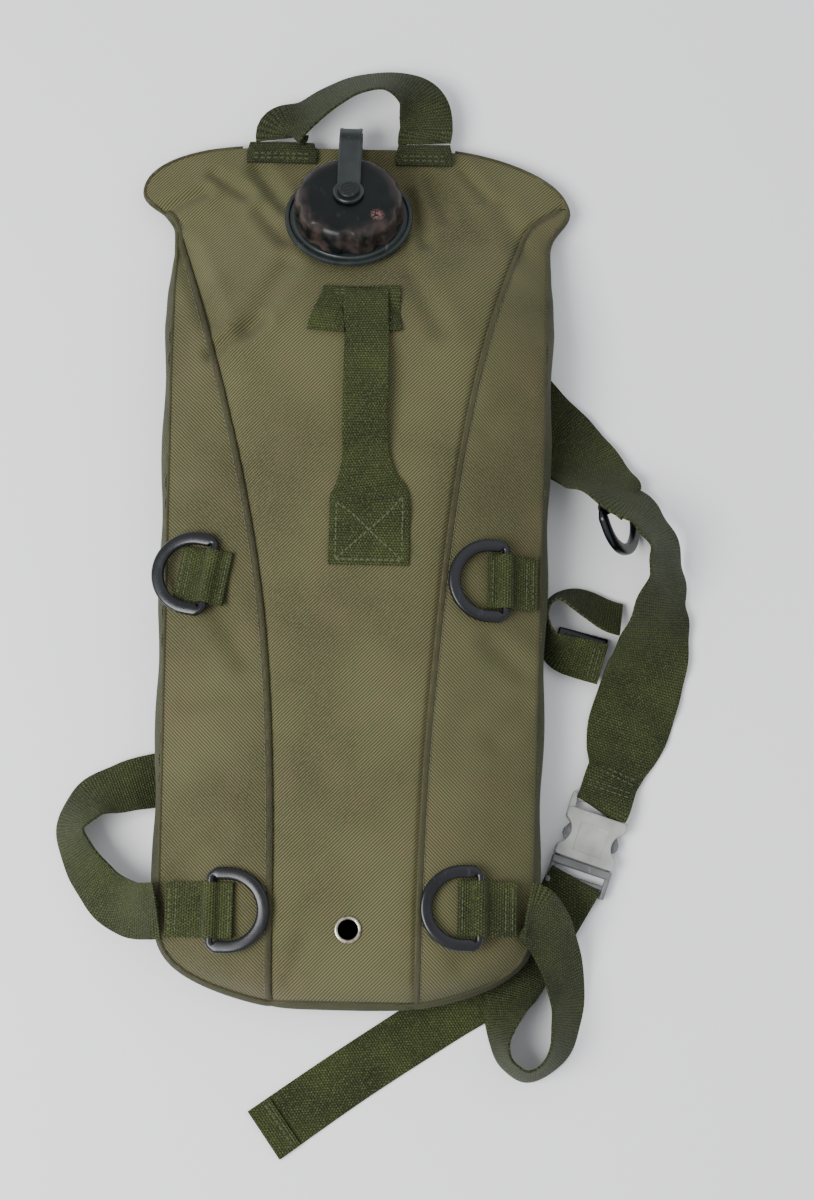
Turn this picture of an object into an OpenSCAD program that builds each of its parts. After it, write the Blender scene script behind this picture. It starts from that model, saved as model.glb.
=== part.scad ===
// Hydration pack: a soft insulated carrier lying on its back, with a screw-cap
// reservoir inside, webbing straps, rings and side-release buckles.
// X is to the right, Y runs up the pack to its grab handle, Z is up off the floor.
// The origin is the centre of the spine pad's flat resting face.

/* [Carrier] */
// Length of the carrier from bottom edge to top edge
pack_h = 511; // [500:1:520]
// Half width of the carrier at mid height
side_w = 105; // [103:1:107]
// Height of the front over the floor when the reservoir is full
crown_h = 58; // [56:1:60]
// Height of the seam between the front and the side gusset
seam_h = 40; // [38:1:42]
// Height of the back panel over the floor, beside the spine pad
back_h = 13; // [13:0.5:14]
// Thickness of the coated shell fabric
shell_t = 1.6; // [1.2:0.1:1.6]
// Thickness of the insulating foam lining
foam_t = 3; // [2:0.5:3]

/* [Webbing] */
// Thickness of all the webbing
web_t = 1.5; // [1.2:0.1:1.6]
// Width of the webbing at the buckles and the grab handle
web_w = 32; // [30:1:32]
// Width of the shoulder strap webbing
shoulder_w = 48; // [44:1:48]
// Width of the sternum strap webbing
sternum_w = 25; // [20:1:25]

/* [Cap] */
// Radius of the screw cap over its lobes
cap_r = 32; // [30:0.5:32]
// Height of the cap's skirt and top
cap_h = 18.4; // [18.4:0.1:20]
// Number of grip lobes round the cap
cap_lobes = 10; // [8:1:12]
// Tilt of the filler neck towards the top of the pack
cap_tilt = 25; // [24:1:26]

/* [Rings] */
// Outer width of a webbing ring, along its bar
ring_w = 48; // [46:1:48]
// Width of the ring's moulded section
ring_band = 7; // [6:0.5:7]
// Thickness of the ring's moulded section
ring_t = 4.5; // [4:0.5:4.5]

/* [Hidden] */

olive = [0.33, 0.32, 0.19];
webbing_green = [0.25, 0.27, 0.12];
plastic_black = [0.05, 0.06, 0.07];
gap = 0.3;
foot = 0.3;

// ---- heights and outlines of the carrier, by distance y from its bottom edge ----
toe_len = 45;
toe_h = 26;
top_h = 12;
taper_start = 375;
taper_len = 140;
pad_half = 50;
back_top = 6;
back_ease = 380;
rim_top = 9.6;
corner_len = 55;
corner_half = 40;
side_spread = 5;
neck_y = 430;
ear_out = [22, 13];
ear_y = [481, 473];
ear_len = 14;
top_half = [60, 50];
top_power = [0.45, 0.7];
seam_low = 40;
seam_top = 470;
seam_spread = 68;
seam_lean = -7;

function ease(t) = let (k = min(1, max(0, t))) k * k * (3 - 2 * k);
function back_z(y) = back_h - (back_h - back_top) * ease((y - back_ease) / (pack_h - back_ease));
function crown_z(y) = y < toe_len
    ? toe_h + (crown_h - toe_h) * sqrt(max(0, 1 - pow(1 - max(0, y) / toe_len, 2)))
    : crown_h - (crown_h - top_h) * ease((y - taper_start) / taper_len);
function rim_z(y) = y < 60
    ? toe_h + (seam_h - toe_h) * ease(y / 60)
    : seam_h - (seam_h - rim_top) * ease((y - 360) / (pack_h - 360));
function plain_half(y) = y < corner_len
    ? side_w - (side_w - corner_half) * pow(1 - max(0, y) / corner_len, 4)
    : side_w + side_spread * min(1, (y - corner_len) / (neck_y - corner_len));
function ear_half(y, s) = plain_half(y) + ear_out[s] * exp(-pow((y - ear_y[s]) / ear_len, 2));
// s is 0 on the left and 1 on the right
function half_w(y, s) = y < ear_y[s]
    ? ear_half(y, s)
    : top_half[s] + (ear_half(ear_y[s], s) - top_half[s])
        * pow(max(0, 1 - pow((y - ear_y[s]) / (pack_h - ear_y[s]), 2)), top_power[s]);
function seam_mid(y) = seam_lean * ease((y - 180) / 240);
function seam_x(y, s) = seam_mid(y) * (s == 0 ? -1 : 1) + seam_low
    + seam_spread * pow(max(0, y) / seam_top, 2.6) + 16 * exp(-pow((y - seam_top - 8) / 12, 2));
function front_z(x, y) = let (u = abs(x) / half_w(y, x < 0 ? 0 : 1))
    rim_z(y) + (crown_z(y) - rim_z(y)) * (1 - pow(min(1, u), 3.5));

// rows close together where the outline turns quickly
function spread(a, b, n) = [for (i = [0:n]) a + (b - a) * i / n];
toe_rows = [1, 3, 6, 10, 15, 21, 28, 36, 45];
side_rows = spread(60, 360, 12);
top_rows = spread(375, 470, 12);
ear_rows = [474, 478, 482, 486, 490, 494, 498, 502, 506, 509, 510.5];
panel_rows = concat(toe_rows, side_rows, top_rows);
all_rows = concat(panel_rows, ear_rows);

module laid() {
    translate([0, -pack_h / 2, 0]) children();
}

// a closed sheet: rows of points for its outer face, and the same rows for its inner face
module sheet(outer, inner) {
    n = len(outer);
    m = len(outer[0]);
    points = concat([for (r = outer) each r], [for (r = inner) each r]);
    k = n * m;
    faces = concat(
        [for (i = [0:n - 2]) for (j = [0:m - 2]) each [
            [i * m + j, (i + 1) * m + j, (i + 1) * m + j + 1],
            [i * m + j, (i + 1) * m + j + 1, i * m + j + 1],
            [k + i * m + j, k + (i + 1) * m + j + 1, k + (i + 1) * m + j],
            [k + i * m + j, k + i * m + j + 1, k + (i + 1) * m + j + 1]]],
        [for (i = [0:n - 2]) each [
            [i * m, k + i * m, k + (i + 1) * m],
            [i * m, k + (i + 1) * m, (i + 1) * m],
            [i * m + m - 1, k + (i + 1) * m + m - 1, k + i * m + m - 1],
            [i * m + m - 1, (i + 1) * m + m - 1, k + (i + 1) * m + m - 1]]],
        [for (j = [0:m - 2]) each [
            [j, j + 1, k + j + 1],
            [j, k + j + 1, k + j],
            [(n - 1) * m + j, k + (n - 1) * m + j + 1, (n - 1) * m + j + 1],
            [(n - 1) * m + j, k + (n - 1) * m + j, k + (n - 1) * m + j + 1]]]);
    polyhedron(points, faces);
}

// a front sheet between x limits left(y) and right(y), from depth a to depth b below the front
module front_sheet(rows, limits, a, b, columns) {
    grid = [for (i = [0:len(rows) - 1])
        [for (x = spread(limits[i][0], limits[i][1], columns)) [x, rows[i]]]];
    outer = [for (r = grid) [for (p = r) [p[0], p[1], front_z(p[0], p[1]) - a]]];
    inner = [for (r = grid) [for (p = r) [p[0], p[1], front_z(p[0], p[1]) - b]]];
    sheet(outer, inner);
}

// ---- webbing: a flat ribbon swept along smooth points [x, y, z, roll, width] ----
function unit(v) = v / max(1e-9, norm(v));
function blend_point(a, b, c, d, t) = 0.5 * ((2 * b) + (c - a) * t
    + (2 * a - 5 * b + 4 * c - d) * t * t + (3 * b - a - 3 * c + d) * t * t * t);
function smooth_path(p, n) = [for (i = [0:len(p) - 2]) for (k = [0:n - (i < len(p) - 2 ? 1 : 0)])
    blend_point(p[max(0, i - 1)], p[i], p[i + 1], p[min(len(p) - 1, i + 2)], k / n)];
function xyz(p) = [p[0], p[1], p[2]];
function heading(p, i) = unit(xyz(p[min(len(p) - 1, i + 1)]) - xyz(p[max(0, i - 1)]));
function across(p, i) = let (t = heading(p, i), s = unit(cross(t, [0, 0, 1])), n = cross(s, t))
    s * cos(p[i][3]) + n * sin(p[i][3]);

module ribbon(route, steps = 4, thick = web_t) {
    p = smooth_path(route, steps);
    outer = [for (i = [0:len(p) - 1]) let (s = across(p, i), n = cross(s, heading(p, i)))
        [xyz(p[i]) + s * p[i][4] / 2 + n * thick / 2, xyz(p[i]) - s * p[i][4] / 2 + n * thick / 2]];
    inner = [for (i = [0:len(p) - 1]) let (s = across(p, i), n = cross(s, heading(p, i)))
        [xyz(p[i]) + s * p[i][4] / 2 - n * thick / 2, xyz(p[i]) - s * p[i][4] / 2 - n * thick / 2]];
    sheet(outer, inner);
}

// ---- where the filler neck stands ----
neck_pos = [-8, 460, 32];
neck_bore_r = 31;
ring_r = 38;
collar_r = 26;

module at_neck() {
    laid() translate(neck_pos) rotate([-cap_tilt, 0, 0]) children();
}

module neck_hole(r) {
    translate(neck_pos) rotate([-cap_tilt, 0, 0]) translate([0, 0, -30]) cylinder(h = 50, r = r, $fn = 64);
}

// ---- drain eyelet ----
drain_pos = [2.5, 40.7];
drain_r = 5.5;
drain_flange_r = 7.6;
drain_wall = 0.5;

// ---- carrier panels ----
stitch_gap = 0.15;

module front_centre_panel() {
    color(olive) laid() difference() {
        front_sheet(all_rows, [for (y = all_rows) y < seam_top
            ? [-seam_x(y, 0) + stitch_gap, seam_x(y, 1) - stitch_gap]
            : [-half_w(y, 0), half_w(y, 1)]], 0, shell_t, 14);
        neck_hole(neck_bore_r);
        translate([drain_pos[0], drain_pos[1], crown_h - 10])
            cylinder(h = 20, r = drain_r + drain_wall + gap, $fn = 48);
    }
}

module front_side_panel(s) {
    rows = [for (y = panel_rows) if (y < seam_top - 1) y];
    m = s == 0 ? -1 : 1;
    front_sheet(rows, [for (y = rows) let (a = m * (seam_x(y, s) + stitch_gap), b = m * half_w(y, s))
        [min(a, b), max(a, b)]], 0, shell_t, 7);
}

module front_left_panel() {
    color(olive) laid() front_side_panel(0);
}

module front_right_panel() {
    color(olive) laid() front_side_panel(1);
}

// the gusset's wall follows the outline and bulges outwards at mid height
gusset_bulge = 5;
gusset_levels = 5;
function rim_path() = concat(
    [for (i = [len(panel_rows) + 3:-1:0]) [-half_w(all_rows[i], 0), all_rows[i]]],
    [for (x = [-24, -8, 8, 24]) [x, 1]],
    [for (i = [0:len(panel_rows) + 3]) [half_w(all_rows[i], 1), all_rows[i]]]);

module side_gusset() {
    rim = rim_path();
    last = len(rim) - 1;
    low = [for (q = rim) back_z(q[1]) + shell_t + gap];
    high = [for (i = [0:last]) max(low[i] + 0.8, rim_z(rim[i][1]) - shell_t - gap)];
    out = [for (i = [0:last]) let (d = unit(rim[min(last, i + 1)] - rim[max(0, i - 1)])) [d[1] * -1, d[0]]];
    function wall(i, j, d) = let (
        t = j / gusset_levels,
        swell = gusset_bulge * sin(180 * t) * min(1, (high[i] - low[i]) / 22) - d,
        q = rim[i] - out[i] * swell) [q[0], q[1], low[i] + (high[i] - low[i]) * t];
    color(olive) laid() sheet(
        [for (i = [0:last]) [for (j = [0:gusset_levels]) wall(i, j, 0)]],
        [for (i = [0:last]) [for (j = [0:gusset_levels]) wall(i, j, shell_t)]]);
}

module back_panel() {
    color(olive) laid() sheet(
        [for (y = all_rows) [for (x = spread(-half_w(y, 0), half_w(y, 1), 6)) [x, y, back_z(y) + shell_t]]],
        [for (y = all_rows) [for (x = spread(-half_w(y, 0), half_w(y, 1), 6)) [x, y, back_z(y)]]]);
}

pad_low = 25;
pad_high = 380;
pad_corner = 20;
pad_step = 3;

module pad_layer(inset, z0, z1) {
    r = pad_corner - inset;
    x = pad_half - pad_corner;
    translate([0, 0, z0]) linear_extrude(z1 - z0) union() {
        translate([-x, pad_low + inset]) square([2 * x, pad_high - pad_low - 2 * inset]);
        translate([-pad_half + inset, pad_low + pad_corner])
            square([2 * (pad_half - inset), pad_high - pad_low - 2 * pad_corner]);
        for (sx = [-1, 1]) for (y = [pad_low + pad_corner, pad_high - pad_corner])
            translate([sx * x, y]) circle(r, $fn = 48);
    }
}

module spine_pad() {
    color([0.16, 0.17, 0.12]) laid() union() {
        pad_layer(pad_step, 0, pad_step);
        pad_layer(0, pad_step, back_h - 2 * gap);
    }
}

liner_low = 57;
liner_high = 488;
liner_inset = 9;

module insulation_liner() {
    rows = concat([liner_low], [for (y = all_rows) if (y > liner_low + 1 && y < liner_high) y]);
    color([0.75, 0.75, 0.73]) laid() difference() {
        front_sheet(rows, [for (y = rows) [-half_w(min(y, 440), 0) + liner_inset,
            half_w(min(y, 440), 1) - liner_inset]], shell_t + gap, shell_t + gap + foam_t, 10);
        neck_hole(neck_bore_r + 1);
    }
}

strip_half = 50;
strip_y = 493;
strip_w = 11;
strip_t = 1.1;

module closure_strip(z) {
    laid() translate([-strip_half, strip_y, z]) cube([2 * strip_half, strip_w, strip_t]);
}

module loop_strip() {
    color("black") closure_strip(back_top + shell_t + gap + 0.2);
}

module hook_strip() {
    color("black") closure_strip(back_top + shell_t + gap + 0.4 + strip_t);
}

// ---- reservoir ----
bag_low = 62;
bag_high = 484;
bag_half = 91;
bag_sides = 28;
function bag_fill(t) = pow(max(0.02, 1 - pow(abs(2 * t - 1), 7)), 0.5);

module reservoir_bag() {
    rows = concat([0, 0.008, 0.02, 0.04], spread(0.07, 0.93, 26), [0.96, 0.98, 0.992, 1]);
    rings = [for (t = rows) let (
        y = bag_low + (bag_high - bag_low) * t,
        top = crown_z(y) - shell_t - foam_t - 3 * gap - 1,
        low = back_z(y) + shell_t + 2 * gap,
        mid = (top + low) / 2,
        hz = max(0.5, (top - low) / 2 - 0.4) * bag_fill(t),
        hx = bag_half * (0.8 + 0.2 * bag_fill(t)))
        [for (k = [0:bag_sides - 1]) let (a = 360 * k / bag_sides, c = cos(a), s = sin(a))
            [hx * sign(c) * pow(abs(c), 0.77), y, mid + hz * sign(s) * pow(abs(s), 0.77)]]];
    n = len(rings);
    m = bag_sides;
    color([0.55, 0.7, 0.85]) laid() polyhedron([for (r = rings) each r], concat(
        [[for (k = [0:m - 1]) k]],
        [for (i = [0:n - 2]) for (k = [0:m - 1]) each [
            [i * m + k, (i + 1) * m + k, (i + 1) * m + (k + 1) % m],
            [i * m + k, (i + 1) * m + (k + 1) % m, i * m + (k + 1) % m]]],
        [[for (k = [m - 1:-1:0]) (n - 1) * m + k]]));
}

collar_base = -11;
collar_top = 17;
collar_wall = 3.5;
thread_pitch = 4;

module neck_collar() {
    color([0.1, 0.11, 0.12]) at_neck() difference() {
        union() {
            translate([0, 0, collar_base]) cylinder(h = collar_top - collar_base, r = collar_r, $fn = 96);
            translate([0, 0, collar_base]) cylinder(h = 2.4, r = collar_r + 3, $fn = 96);
            for (h = [5:thread_pitch:13])
                translate([0, 0, h]) cylinder(h = 1.6, r = collar_r + 0.8, $fn = 96);
        }
        translate([0, 0, collar_base - 1])
            cylinder(h = collar_top - collar_base + 2, r = collar_r - collar_wall, $fn = 96);
    }
}

// the outlet the drinking tube plugs on to, low on the reservoir and inside the carrier
outlet_pos = [30, 50, 30];
outlet_r = 4;

module outlet_elbow() {
    color([0.1, 0.11, 0.12]) laid() translate(outlet_pos) union() {
        rotate([-90, 0, 0]) translate([0, 0, -outlet_r - 2]) cylinder(h = 20, r = outlet_r + 2, $fn = 48);
        rotate([-90, 0, 0]) translate([0, 0, 12]) cylinder(h = 3, r = 13, $fn = 48);
        rotate([0, 90, 0]) cylinder(h = 26, r = outlet_r, $fn = 48);
    }
}

module tether_ring() {
    color(plastic_black) at_neck() rotate_extrude($fn = 96) polygon([
        [collar_r + 1, 0.4], [ring_r - 1, 0.4], [ring_r, 1.2], [ring_r, 2.6], [ring_r - 1, 3.4],
        [ring_r - 2.4, 3.4], [ring_r - 3.2, 2], [cap_r + 1.2, 2], [cap_r + 0.4, 2.8], [collar_r + 1, 2.8]]);
}

eye_low = 22.3;
eye_r = 9;
eye_t = 2;
tether_w = 13;
button_r = 3.5;

// the strap's side view: y along the pack and z off the cap, bent over in one arch
tether_route = [[6.5, 23.3], [18, 26.5], [38, 27.5], [53, 23], [61, 15.5], [59.5, 9.5], [52, 5.6], [45, 3.8],
    [ring_r + 1.4, 3.2]];

module tether_strap() {
    p = smooth_path([for (q = tether_route) [0, q[0], q[1], 0, 0]], 4);
    n = [for (i = [0:len(p) - 1]) let (d = heading(p, i)) [-d[2], d[1]]];
    edge = [for (i = [0:len(p) - 1]) [p[i][1], p[i][2]]];
    outline = concat([for (i = [0:len(p) - 1]) edge[i] + n[i] * eye_t / 2],
        [for (i = [len(p) - 1:-1:0]) edge[i] - n[i] * eye_t / 2]);
    color(plastic_black) at_neck() difference() {
        union() {
            translate([0, 0, eye_low]) cylinder(h = eye_t, r = eye_r, $fn = 64);
            rotate([90, 0, 90]) translate([0, 0, -tether_w / 2]) linear_extrude(tether_w) polygon(outline);
        }
        translate([0, 0, eye_low - 1]) cylinder(h = eye_t + 2, r = button_r + 0.5, $fn = 64);
    }
}

cap_base = 3.6;
cap_inner_r = 27.5;
cap_roof = 3.2;
scallop_r = 8;
scallop_depth = 1.6;

module screw_cap() {
    top = cap_base + cap_h;
    color(plastic_black) at_neck() difference() {
        rotate_extrude($fn = 96) polygon([
            [0, cap_base], [cap_r - 0.8, cap_base], [cap_r, cap_base + 0.8], [cap_r, top - 3.4],
            [cap_r - 0.9, top - 1.4], [cap_r - 2.6, top - 0.3], [cap_r - 4.6, top], [0, top]]);
        translate([0, 0, cap_base - 1]) cylinder(h = cap_h - cap_roof + 1, r = cap_inner_r, $fn = 96);
        for (k = [0:cap_lobes - 1]) rotate(360 * (k + 0.5) / cap_lobes)
            translate([cap_r + scallop_r - scallop_depth, 0, cap_base - 1])
                cylinder(h = cap_h + 2, r = scallop_r, $fn = 48);
    }
}

module cap_seal() {
    color([0.6, 0.6, 0.6]) at_neck() translate([0, 0, collar_top + 0.3]) difference() {
        cylinder(h = cap_base + cap_h - cap_roof - collar_top - 0.5, r = cap_inner_r - 1, $fn = 96);
        translate([0, 0, -1]) cylinder(h = 5, r = collar_r - collar_wall, $fn = 96);
    }
}

module tether_button() {
    color(plastic_black) at_neck() union() {
        translate([0, 0, cap_base + cap_h - 1.5]) cylinder(h = eye_t + 2.4, r = button_r, $fn = 48);
        translate([0, 0, eye_low + eye_t + gap]) rotate_extrude($fn = 64)
            polygon([[0, 0], [6, 0], [6, 0.8], [5.2, 1.5], [0, 1.9]]);
    }
}

module drain_eyelet() {
    top = crown_h + gap;
    wall = drain_r + drain_wall;
    color([0.7, 0.65, 0.5]) laid() translate([drain_pos[0], drain_pos[1], top]) rotate_extrude($fn = 96)
        polygon([[drain_r, -4.4], [wall, -4.4], [wall, 0], [drain_flange_r, 0],
            [drain_flange_r, 0.4], [drain_flange_r - 0.8, 1.1], [drain_r, 1.1]]);
}

module drain_washer() {
    color([0.7, 0.65, 0.5]) laid() translate([drain_pos[0], drain_pos[1], crown_h - 4.1]) difference() {
        cylinder(h = 0.6, r = drain_flange_r + 0.4, $fn = 96);
        translate([0, 0, -1]) cylinder(h = 3, r = drain_r + drain_wall + 0.02, $fn = 96);
    }
}

// ---- carry strap up the middle of the front ----
carry_x = 5;
carry_rise = 10;
patch_w = 46;
fold_w = 26;
function on_front(x, y, lift) = front_z(x, y) + lift;

module carry_anchor() {
    color(webbing_green) laid() ribbon([for (y = [413, 404, 395, 387])
        [0, y, on_front(0, y, 1.4), 0, y > 400 ? 46 : 52]], 2);
}

module carry_strap() {
    a = 1.4 + web_t + gap + 0.2;
    route = [[carry_x - 1, 409, on_front(carry_x, 409, a), 0, fold_w],
        [carry_x - 1, 398, on_front(carry_x, 398, a), 0, fold_w],
        [carry_x, 380, crown_h + 4, 0, fold_w],
        [carry_x, 362, crown_h + carry_rise - 1, 0, fold_w],
        [carry_x, 345, crown_h + carry_rise, 0, fold_w],
        [carry_x, 327, crown_h + carry_rise - 1, 0, fold_w],
        [carry_x + 1, 307, crown_h + 4, 0, fold_w],
        [carry_x + 3, 290, crown_h + 1.4, 0, patch_w],
        [carry_x + 4, 270, crown_h + 1.2, 0, patch_w],
        [carry_x + 4, 247, crown_h + 1.2, 0, patch_w]];
    color(webbing_green) laid() ribbon(route, 4);
}

// ---- grab handle at the top edge ----
handle_axis_y = 514.5;
handle_axis_z = 14.5;

module handle_anchor(x, w) {
    laid() ribbon([[x, 500, 15.2, 0, w], [x, 506, 14.8, 0, w], [x, 512.8, 14.5, 0, w * 0.92]], 2, 2 * web_t);
}

module handle_anchor_left() {
    color(webbing_green) handle_anchor(-50, 42);
}

module handle_anchor_right() {
    color(webbing_green) handle_anchor(36, 34);
}

module grab_handle() {
    route = [[36, handle_axis_y - 0.4, handle_axis_z, 0, web_w], [36, 517.5, 14.8, 0, web_w],
        [37, 523, 16, 0, web_w], [35, 535, 19, -12, web_w], [27, 545, 22, -36, web_w],
        [12, 550, 23, -52, web_w], [-6, 547, 23, -52, web_w], [-22, 539, 22, -48, web_w],
        [-36, 529, 20, -42, web_w], [-47, 522.4, 17.4, -18, web_w], [-50, 518.4, 15.6, -2, web_w],
        [-50, handle_axis_y + 0.6, handle_axis_z + 0.5, 0, web_w]];
    color(webbing_green) laid() ribbon(route, 5);
}

// ---- rings in webbing tabs ----
// each ring: side (0 left, 1 right), bar x and y, tab reach outwards and inwards, turn on the
// front, slope of the tab, slope of the ring, and 1 where the ring lies outwards
bar_r = ring_t / 2;
tab_w = 31;
tab_bore = bar_r + 0.3;
tab_wall = 1.3;
tab_axis = tab_bore + tab_wall;
leg = 9.75;
bow_r = ring_w / 2 - ring_band / 2;
ring_low_left = [0, -75, 50, 27, 13, 0, 15, 5];
ring_low_right = [1, 76, 54, 22, 12, 0, 15, 5];
ring_up_left = [0, -82, 239, 20, 11, -10, 17, 0];
over_droop = 9;
ring_up_right = [1, 88, 240, 20, 10, 0, 22, 11];

// children stand with x inwards, y up the pack, z off the front, at the middle of the bar
module at_ring(g, slope) {
    laid() translate([g[1], g[2], front_z(g[1], g[2]) + tab_axis + 0.9])
        mirror([g[0], 0, 0]) rotate([0, 0, g[5]]) rotate([0, -slope, 0]) children();
}

module ring_shape() {
    h = ring_t / 2;
    w = ring_band / 2;
    profile = [[bow_r - w, -h + 1], [bow_r - w + 1.2, -h], [bow_r + w - 1.2, -h], [bow_r + w, -h + 1],
        [bow_r + w, h - 1], [bow_r + w - 1.2, h], [bow_r - w + 1.2, h], [bow_r - w, h - 1]];
    union() {
        translate([leg, 0, 0]) rotate([0, 0, -90]) rotate_extrude(angle = 180, $fn = 96) polygon(profile);
        for (s = [0, 1]) mirror([0, s, 0]) rotate([0, 90, 0]) translate([0, 0, -bar_r])
            linear_extrude(leg + bar_r) polygon([for (q = profile) [q[1], q[0]]]);
        translate([0, bow_r, 0]) rotate([90, 0, 0]) cylinder(h = 2 * bow_r, r = bar_r, $fn = 48);
    }
}

module tab_shape(outwards, inwards) {
    rotate([90, 0, 0]) translate([0, 0, -tab_w / 2]) linear_extrude(tab_w) difference() {
        union() {
            circle(tab_bore + tab_wall, $fn = 64);
            translate([-outwards, -tab_axis]) square([outwards + inwards, 2 * web_t]);
        }
        circle(tab_bore, $fn = 64);
    }
}

module ring_at(g, over) {
    at_ring(g, g[7]) rotate([0, 0, over ? 180 : 0]) rotate([0, over ? over_droop : 0, 0]) ring_shape();
}

module tab_at(g) {
    at_ring(g, g[6]) tab_shape(g[3], g[4]);
}

module tab_lower_left() {
    color(webbing_green) tab_at(ring_low_left);
}

module tab_lower_right() {
    color(webbing_green) tab_at(ring_low_right);
}

module tab_upper_left() {
    color(webbing_green) tab_at(ring_up_left);
}

module tab_upper_right() {
    color(webbing_green) tab_at(ring_up_right);
}

module ring_lower_left() {
    color(plastic_black) ring_at(ring_low_left, false);
}

module ring_lower_right() {
    color(plastic_black) ring_at(ring_low_right, false);
}

module ring_upper_left() {
    color(plastic_black) ring_at(ring_up_left, true);
}

module ring_upper_right() {
    color(plastic_black) ring_at(ring_up_right, false);
}

// ---- buckles ----
// a buckle stands with x across it, y up its strap and z off the floor, at the socket's mouth
mouth_right = [137, 83.5, 0.5];
turn_right = -17.6;
mouth_left = [-80, 160, 0.5];
turn_left = 0;
buckle_half = 18;
buckle_t = 10;
body_len = 29;
socket_len = 38;
cavity_half = 14.5;
cavity_wall = 2;
cavity_len = 26;
window_r = 9;
window_x = 21.5;
window_y = 14.5;
socket_bar_y = 35.4;
socket_bar_r = 1.8;

module at_buckle(side) {
    laid() translate(side == 0 ? mouth_left : mouth_right)
        rotate([0, 0, side == 0 ? turn_left : turn_right]) children();
}

module socket() {
    difference() {
        union() {
            translate([-buckle_half, 0, 0]) cube([2 * buckle_half, body_len, buckle_t]);
            for (s = [-1, 1]) translate([s * (buckle_half - 1.75) - 1.75, body_len - 1, 1.5])
                cube([3.5, socket_len - body_len + 1, buckle_t - 3]);
            translate([-buckle_half + 1, socket_bar_y, buckle_t / 2]) rotate([0, 90, 0])
                cylinder(h = 2 * buckle_half - 2, r = socket_bar_r, $fn = 48);
        }
        translate([-cavity_half, -1, cavity_wall])
            cube([2 * cavity_half, cavity_len + 1, buckle_t - 2 * cavity_wall]);
        for (s = [-1, 1]) translate([s * window_x, window_y, -1])
            cylinder(h = buckle_t + 2, r = window_r, $fn = 64);
    }
}

plug_base = 3;
plug_rail = 3;
plug_len = 17;
tongue_half = 3;
tongue_len = 21;
plug_z = [2.4, 7.6];

module plug() {
    h = plug_z[1] - plug_z[0];
    union() {
        translate([-cavity_half + gap, -2, plug_z[0]]) cube([2 * (cavity_half - gap), 2 + plug_base, h]);
        translate([-tongue_half, plug_base - 1, plug_z[0] + 0.8])
            cube([2 * tongue_half, tongue_len - 2, h - 1.6]);
        translate([-buckle_half, -5, plug_z[0] - 1]) cube([2 * buckle_half, 4.4, h + 2]);
        for (s = [-1, 1])
            translate([s * (buckle_half - plug_rail / 2) - plug_rail / 2, -plug_len, plug_z[0]])
            cube([plug_rail, plug_len - 4, h]);
        for (y = [-11, 1.5 - plug_len]) translate([-buckle_half + 1, y, buckle_t / 2]) rotate([0, 90, 0])
            cylinder(h = 2 * buckle_half - 2, r = 1.6, $fn = 48);
    }
}

prong_pivot = [9.5, 5.2];
prong_root = 1.6;
prong_t = 4;

module prong() {
    translate([0, 0, (buckle_t - prong_t) / 2]) linear_extrude(prong_t) union() {
        translate(prong_pivot) circle(prong_root, $fn = 48);
        polygon([[8, 5.2], [11, 5.2], [11.4, 9.6], [15.6, 10.6], [16.8, 13], [16.8, 15.5],
            [15, 18.8], [12.5, 21.5], [9.6, 22.5], [8.2, 21]]);
    }
}

module socket_left() {
    color([0.35, 0.35, 0.36]) at_buckle(0) socket();
}

module socket_right() {
    color([0.35, 0.35, 0.36]) at_buckle(1) socket();
}

module plug_left() {
    color([0.25, 0.25, 0.26]) at_buckle(0) plug();
}

module plug_right() {
    color([0.25, 0.25, 0.26]) at_buckle(1) plug();
}

module prong_left_a() {
    color([0.25, 0.25, 0.26]) at_buckle(0) prong();
}

module prong_left_b() {
    color([0.25, 0.25, 0.26]) at_buckle(0) mirror([1, 0, 0]) prong();
}

module prong_right_a() {
    color([0.25, 0.25, 0.26]) at_buckle(1) prong();
}

module prong_right_b() {
    color([0.25, 0.25, 0.26]) at_buckle(1) mirror([1, 0, 0]) prong();
}

// ---- straps: [x, y from the bottom edge, z, roll, width] ----
flat_z = foot + web_t / 2;

module shoulder_yoke() {
    color(webbing_green) laid() translate([-70, 452, 5.6]) cube([140, 24, 1.6]);
}

module shoulder_strap_left() {
    route = [[-40, 470, 4.2, 0, shoulder_w - 2], [-56, 440, 3, 0, shoulder_w - 2],
        [-76, 400, flat_z, 0, shoulder_w - 2], [-81, 360, flat_z, 0, shoulder_w - 2],
        [-81, 310, flat_z, 0, shoulder_w - 2], [-81, 250, flat_z, 0, shoulder_w - 2],
        [-81, 232, flat_z, 0, shoulder_w - 4], [-80, 214, 2, 0, web_w], [-80, 204, 5.5, 0, web_w],
        [-80, 198, 8.4, 0, web_w], [-80, 192.6, 8.4, 0, web_w]];
    color(webbing_green) laid() ribbon(route, 3);
}

module shoulder_strap_right() {
    route = [[40, 470, 4.2, 0, shoulder_w], [58, 430, 3.5, 0, shoulder_w], [80, 380, 4, 0, shoulder_w],
        [100, 353, 5, 0, shoulder_w - 2], [118, 336, 6.5, 4, shoulder_w - 4],
        [136, 317, 14, 24, shoulder_w - 2], [154, 298, 28, 50, shoulder_w],
        [170, 285, 28.5, 58, shoulder_w], [181, 268, 27, 62, shoulder_w],
        [183, 250, 25.5, 60, shoulder_w], [180, 229, 22, 46, shoulder_w],
        [175, 204, 12, 22, shoulder_w], [169, 182, 4, 4, shoulder_w],
        [163, 162, 1.8, 0, shoulder_w], [159, 148, 2, 0, 42], [156, 138, 3, 0, web_w + 2],
        [153, 131, 5.5, 0, web_w], [149.6, 120.4, 8.4, 0, web_w], [147.6, 114.8, 8.4, 0, web_w]];
    color(webbing_green) laid() ribbon(route, 4);
}

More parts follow.
